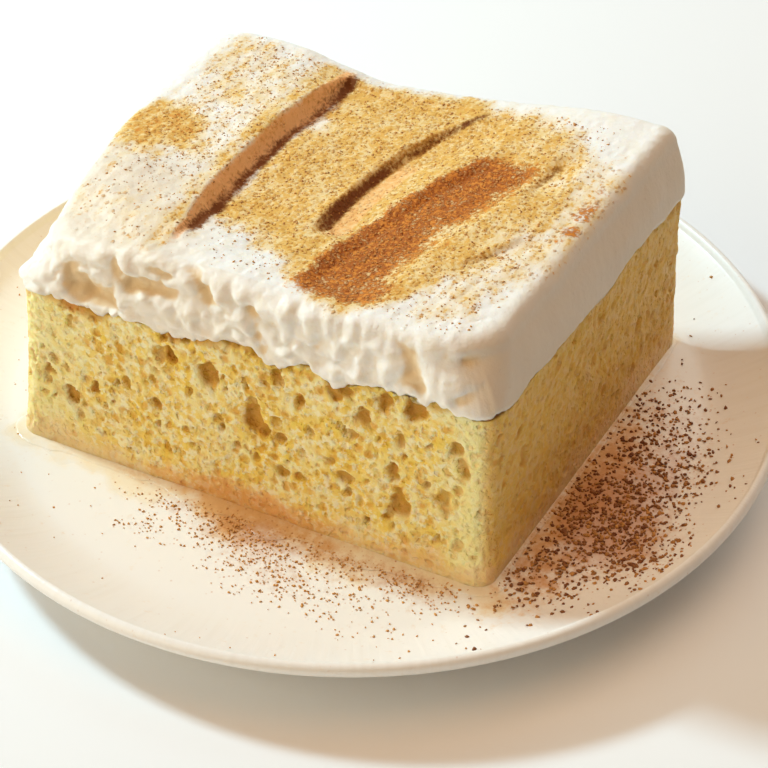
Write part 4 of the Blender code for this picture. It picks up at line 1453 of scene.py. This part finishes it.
@dataclass
class MilkSeep:
    """The thin film of milk that stands round the foot of the cake.

    Attributes:
        shape: Outline of the slice.
        plate: The plate it stands on.
        finish: Look of the milk.
        steps: Steps along each side.
        rows: Steps from the cake to the film's edge.
    """

    shape: SliceShape
    plate: Plate
    finish: MilkFinish = MilkFinish()
    steps: int = 150
    rows: int = 12

    def build(self) -> bpy.types.Object:
        """A ring whose section climbs the crumb as a square of what is left to its rim, and is flat below.

        Returns:
            The film, dressed and riding on its body.
        """
        shape = self.shape
        uv = side_places(self.steps, self.steps, self.steps, self.steps)
        foot = shape.sponge_plan(uv, 0.0)
        along = np.roll(foot, -3, axis=0) - np.roll(foot, 3, axis=0)
        out = np.stack([along[:, 1], -along[:, 0]], axis=-1)
        out = out / np.linalg.norm(out, axis=-1, keepdims=True)
        flat = np.column_stack([foot, np.zeros(len(foot))])
        front = ramp(-foot[:, 1], 32, 40)
        wet = front * (0.25 + 0.75 * bell(foot[:, 0], 8, 26))
        width = (0.9 + 3.0 * wet + (0.6 + 2.4 * wet) * noise(flat, 6 * MM, 311, 3)) * MM
        width = np.maximum(width, 0.35 * MM)
        shares = np.linspace(0.0, 1.0, self.rows)
        reach = -1.2 * MM + shares[:, None] * (width + 1.2 * MM)
        rise = (0.8 * (1 - shares) ** 3 + 0.12 * np.sqrt(np.maximum(1 - shares**4, 0.0)))[:, None] * MM
        floor = shape.floor_z + 0.02 * MM
        height = np.broadcast_to(floor + rise, reach.shape)
        upper = np.concatenate([foot + out * reach[..., None], height[..., None]], axis=-1)
        flatten, underside = np.array([1.0, 1.0, 0.0]), np.array([0.0, 0.0, floor - 0.03 * MM])
        lower, inner = upper[-1:] * flatten + underside, upper[:1] * flatten + underside
        points = np.concatenate([inner, lower, upper[::-1]])
        rows, count = points.shape[:2]
        values = self.plate.spill(points[..., 0], points[..., 1])
        seep = mesh_object("milk_seep", points.reshape(-1, 3), band_quads(rows, count, True), None, values)
        seep.data.materials.append(self.finish.material())
        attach(seep, BODY)
        return seep


class FlakeShape(Enum):
    """The solid that a flake of cinnamon is squeezed from."""

    SPECK = "octahedron"
    CHIP = "bevelled block"

    def solid(self) -> tuple[np.ndarray, np.ndarray]:
        """Points and triangles of the unit solid, faces outwards."""
        ring = np.array([[1, 0, 0], [0, 1, 0], [-1, 0, 0], [0, -1, 0]], float)
        if self is FlakeShape.SPECK:
            points = np.concatenate([ring, [[0, 0, 1], [0, 0, -1]]])
            faces = [(a, (a + 1) % 4, 4) for a in range(4)] + [((a + 1) % 4, a, 5) for a in range(4)]
            return points, np.array(faces)
        turn = np.arange(6) / 6 * math.tau
        low = np.column_stack([np.cos(turn), np.sin(turn), np.full(6, -0.6)])
        high = np.column_stack([0.8 * np.cos(turn + 0.4), 0.8 * np.sin(turn + 0.4), np.full(6, 0.6)])
        points = np.concatenate([low, high, [[0, 0, -0.9], [0.1, 0, 1.0]]])
        faces = []
        for a in range(6):
            b = (a + 1) % 6
            faces += [(a, b, 6 + b), (a, 6 + b, 6 + a), (b, a, 12), (6 + a, 6 + b, 13)]
        return points, np.array(faces)


@dataclass
class Cinnamon:
    """Ground cinnamon, sifted over the cream and the plate.

    Attributes:
        cream: The cream it lies on.
        plate: The plate it lies on.
        finish: Look of the flakes.
        on_cream: Number of flakes on the cream.
        on_plate: Number of flakes on the plate.
        seed: Seed of the sifting.
        spread: Radius on the plate beyond which no flake lies.
    """

    cream: WhippedCream
    plate: Plate
    finish: CinnamonFinish = CinnamonFinish()
    on_cream: int = 4600
    on_plate: int = 3000
    seed: int = 5
    spread: float = 77 * MM

    def sift(
        self, rng: np.random.Generator, wanted: int, reach: tuple[float, float], density: object
    ) -> np.ndarray:
        """Draws places over a rectangle and keeps each with a chance equal to the density there.

        Args:
            rng: Source of random numbers.
            wanted: Number of places.
            reach: Half sides of the rectangle.
            density: Function of x and y that gives numbers from 0 to 1.

        Returns:
            Places in plan, wanted by 2.
        """
        kept = np.zeros((0, 2))
        while len(kept) < wanted:
            tries = rng.uniform(-1, 1, (4 * wanted, 2)) * np.array(reach)
            kept = np.concatenate([kept, tries[rng.random(len(tries)) < density(*tries.T)]])
        return kept[:wanted]

    def cream_density(self, x: np.ndarray, y: np.ndarray) -> np.ndarray:
        """Chance of a flake on the cream, from its dusting."""
        dust = self.cream.dusting(x, y)
        uv = np.maximum(np.abs(x + 1 * MM) / (40.5 * MM), np.abs(y + 1 * MM) / (35.5 * MM))
        inside = smooth_step(1.0 - uv, 0.0, 0.12) * ramp(y + 0.3 * x, -46, -16)
        bare = 1 - 0.9 * np.maximum(self.cream.smooth_places(x, y), dust["tan"])
        return inside * bare * np.clip(0.20 - 0.05 * dust["gold"] + 0.30 * dust["brown"], 0, 1)

    def plate_density(self, x: np.ndarray, y: np.ndarray) -> np.ndarray:
        """Chance of a flake on the plate, outside the foot and inside the lip."""
        clear = (self.plate.shape.outside_foot(x, y) > 0.4 * MM) & (np.hypot(x, y) < self.spread)
        return clear * self.plate.cinnamon(x, y)

    def flakes(
        self, name: str, shape: FlakeShape, places: np.ndarray, sizes: np.ndarray, rng: np.random.Generator
    ) -> bpy.types.Object:
        """Copies the unit solid to every place, squeezed flat, turned and tilted at random.

        Each flake's points are the solid's, scaled on three axes, turned about Z, then tilted about X and Y.

        Args:
            name: Name of the piece.
            shape: The solid.
            places: Middles of the flakes, n by 3.
            sizes: Their lengths.
            rng: Source of random numbers.

        Returns:
            All flakes as one piece, riding on its body.
        """
        solid, faces = shape.solid()
        n = len(places)
        width, height = rng.uniform(0.45, 0.9, n), rng.uniform(0.3, 0.55, n)
        scale = np.stack([sizes / 2, sizes / 2 * width, sizes / 2 * height], axis=-1)
        points = solid[None] * (1 + 0.25 * rng.uniform(-1, 1, (n, len(solid), 1))) * scale[:, None]
        for first, second, angle in (
            (0, 1, rng.uniform(0, math.tau, n)),
            (1, 2, rng.normal(0, 0.35, n)),
            (0, 2, rng.normal(0, 0.35, n)),
        ):
            a, b = points[..., first].copy(), points[..., second].copy()
            c, s = np.cos(angle)[:, None], np.sin(angle)[:, None]
            points[..., first], points[..., second] = a * c - b * s, a * s + b * c
        points = points + places[:, None]
        numbers = faces[None] + (np.arange(n) * len(solid))[:, None, None]
        # The chips darken towards the right of the plate, from x 40 to 52 mm.
        toward_right = ramp(places[:, 0], 40, 52) if shape is FlakeShape.CHIP else np.full(n, 0.3)
        darkest, span = 0.62 - 0.51 * toward_right, 0.75 - 0.13 * toward_right
        tones = {"tone": np.repeat(darkest + span * rng.uniform(0, 1, n) ** 1.3, len(solid))}
        none = np.zeros((0, 4), int)
        piece = mesh_object(name, points.reshape(-1, 3), none, numbers.reshape(-1, 3), tones, smooth=False)
        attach(piece, BODY)
        return piece

    def build(self) -> list[bpy.types.Object]:
        """Sifts both lots, specks on the cream and chips on the plate, and gives them one material."""
        rng = np.random.default_rng(self.seed)
        material = self.finish.material()
        x, y = self.sift(rng, self.on_cream, (43 * MM, 39 * MM), self.cream_density).T
        places = np.column_stack([x, y, self.cream.surface(x, y) + 0.04 * MM])
        sizes = (0.26 + 0.5 * rng.random(self.on_cream) ** 3) * MM
        top = self.flakes("cinnamon_on_cream", FlakeShape.SPECK, places, sizes, rng)
        x, y = self.sift(rng, self.on_plate, (78 * MM, 78 * MM), self.plate_density).T
        places = np.column_stack([x, y, self.plate.surface(x, y) + 0.10 * MM])
        sizes = (0.28 + 0.40 * rng.random(self.on_plate) ** 2) * (1 + 0.7 * ramp(x, 40, 52)) * MM
        below = self.flakes("cinnamon_on_plate", FlakeShape.CHIP, places, sizes, rng)
        for piece in (top, below):
            piece.data.materials.append(material)
        return [top, below]


@dataclass
class Studio:
    """A pale table, a key light from the left, warm soft lights above and in front, and the camera.

    Attributes:
        camera_place: Where the camera stands.
        aim: The point at the middle of its picture.
        lens: Focal length in millimetres.
        film: Width of the frame in millimetres.
        clip: Nearest and farthest distance that the camera sees.
        table_half: Half side of the table.
        table_colour: Colour of the table.
        lamps: Direction, distance, size, power in watts and colour of each light.
        sky: Colour of the sky, whose strength is 1.
    """

    camera_place: Vector = field(default_factory=lambda: Vector((131.27, -242.91, 232.73)) * MM)
    aim: Vector = field(default_factory=lambda: Vector((18.73, -25.02, 29.81)) * MM)
    lens: float = 87.86
    film: float = 36.0
    clip: tuple[float, float] = (0.01, 20.0)
    table_half: float = 4.0
    table_colour: Colour = (0.92, 0.94, 0.96)
    lamps: dict[str, tuple[Colour, float, float, float, Colour]] = field(
        default_factory=lambda: {
            "key": ((-1.0, 0.06, 0.78), 0.9, 0.11, 7.0, (0.62, 0.88, 1.0)),
            "front": ((-0.55, -0.83, 0.45), 1.2, 1.0, 7.4, (1.0, 0.83, 0.57)),
            "over": ((0.1, 0.1, 1.0), 1.2, 1.0, 5.2, (1.0, 0.58, 0.32)),
            "back": ((0.05, 0.8, 0.6), 1.2, 1.0, 4.4, (0.86, 0.98, 0.96)),
        }
    )
    sky: Colour = (0.09, 0.07, 0.052)

    def light(self, name: str, place: Vector, size: float, power: float, colour: Colour) -> None:
        """A square area light that looks at the cake."""
        lamp = bpy.data.lights.new(name, "AREA")
        lamp.size, lamp.energy, lamp.color = size, power, colour
        obj = bpy.data.objects.new(name, lamp)
        obj.location = place
        obj.rotation_euler = (self.aim - place).to_track_quat("-Z", "Y").to_euler()
        bpy.context.scene.collection.objects.link(obj)

    def build(self) -> None:
        """Lays the table, sets the lights and the camera."""
        scene = bpy.context.scene
        corners = self.table_half * np.array([(-1, -1, 0), (1, -1, 0), (1, 1, 0), (-1, 1, 0)], float)
        table = mesh_object("table", corners, np.array([[0, 1, 2, 3]]), smooth=False)
        weave = Weave("pale_table")
        table.data.materials.append(weave.finish(Base_Color=self.table_colour, Roughness=0.8))
        for name, (direction, far, size, power, colour) in self.lamps.items():
            self.light(name, self.aim + Vector(direction).normalized() * far, size, power, colour)
        world = bpy.data.worlds.new("studio")
        scene.world = world
        world.use_nodes = True
        back = world.node_tree.nodes["Background"]
        back.inputs["Color"].default_value = (*self.sky, 1.0)
        camera = bpy.data.objects.new("camera", bpy.data.cameras.new("camera"))
        camera.data.lens, camera.data.sensor_width = self.lens, self.film
        camera.data.clip_start, camera.data.clip_end = self.clip
        camera.location = self.camera_place
        camera.rotation_euler = (self.aim - self.camera_place).to_track_quat("-Z", "Y").to_euler()
        scene.collection.objects.link(camera)
        scene.camera = camera
        scene.view_settings.view_transform = "Standard"


def main() -> None:
    """Sets the studio, then builds the plate, the cake on it and what lies on both."""
    logging.basicConfig(level=logging.INFO, format="%(name)s: %(message)s")
    Studio().build()
    shape = SliceShape()
    plate, cream = Plate(shape), WhippedCream(shape)
    pieces = [plate.build(), Sponge(shape).build(), cream.build(), MilkSeep(shape, plate).build()]
    pieces += Cinnamon(cream, plate).build()
    for piece in pieces:
        piece.data.calc_loop_triangles()
        LOG.info("%s: %d triangles", piece.name, len(piece.data.loop_triangles))


if __name__ == "__main__":
    main()
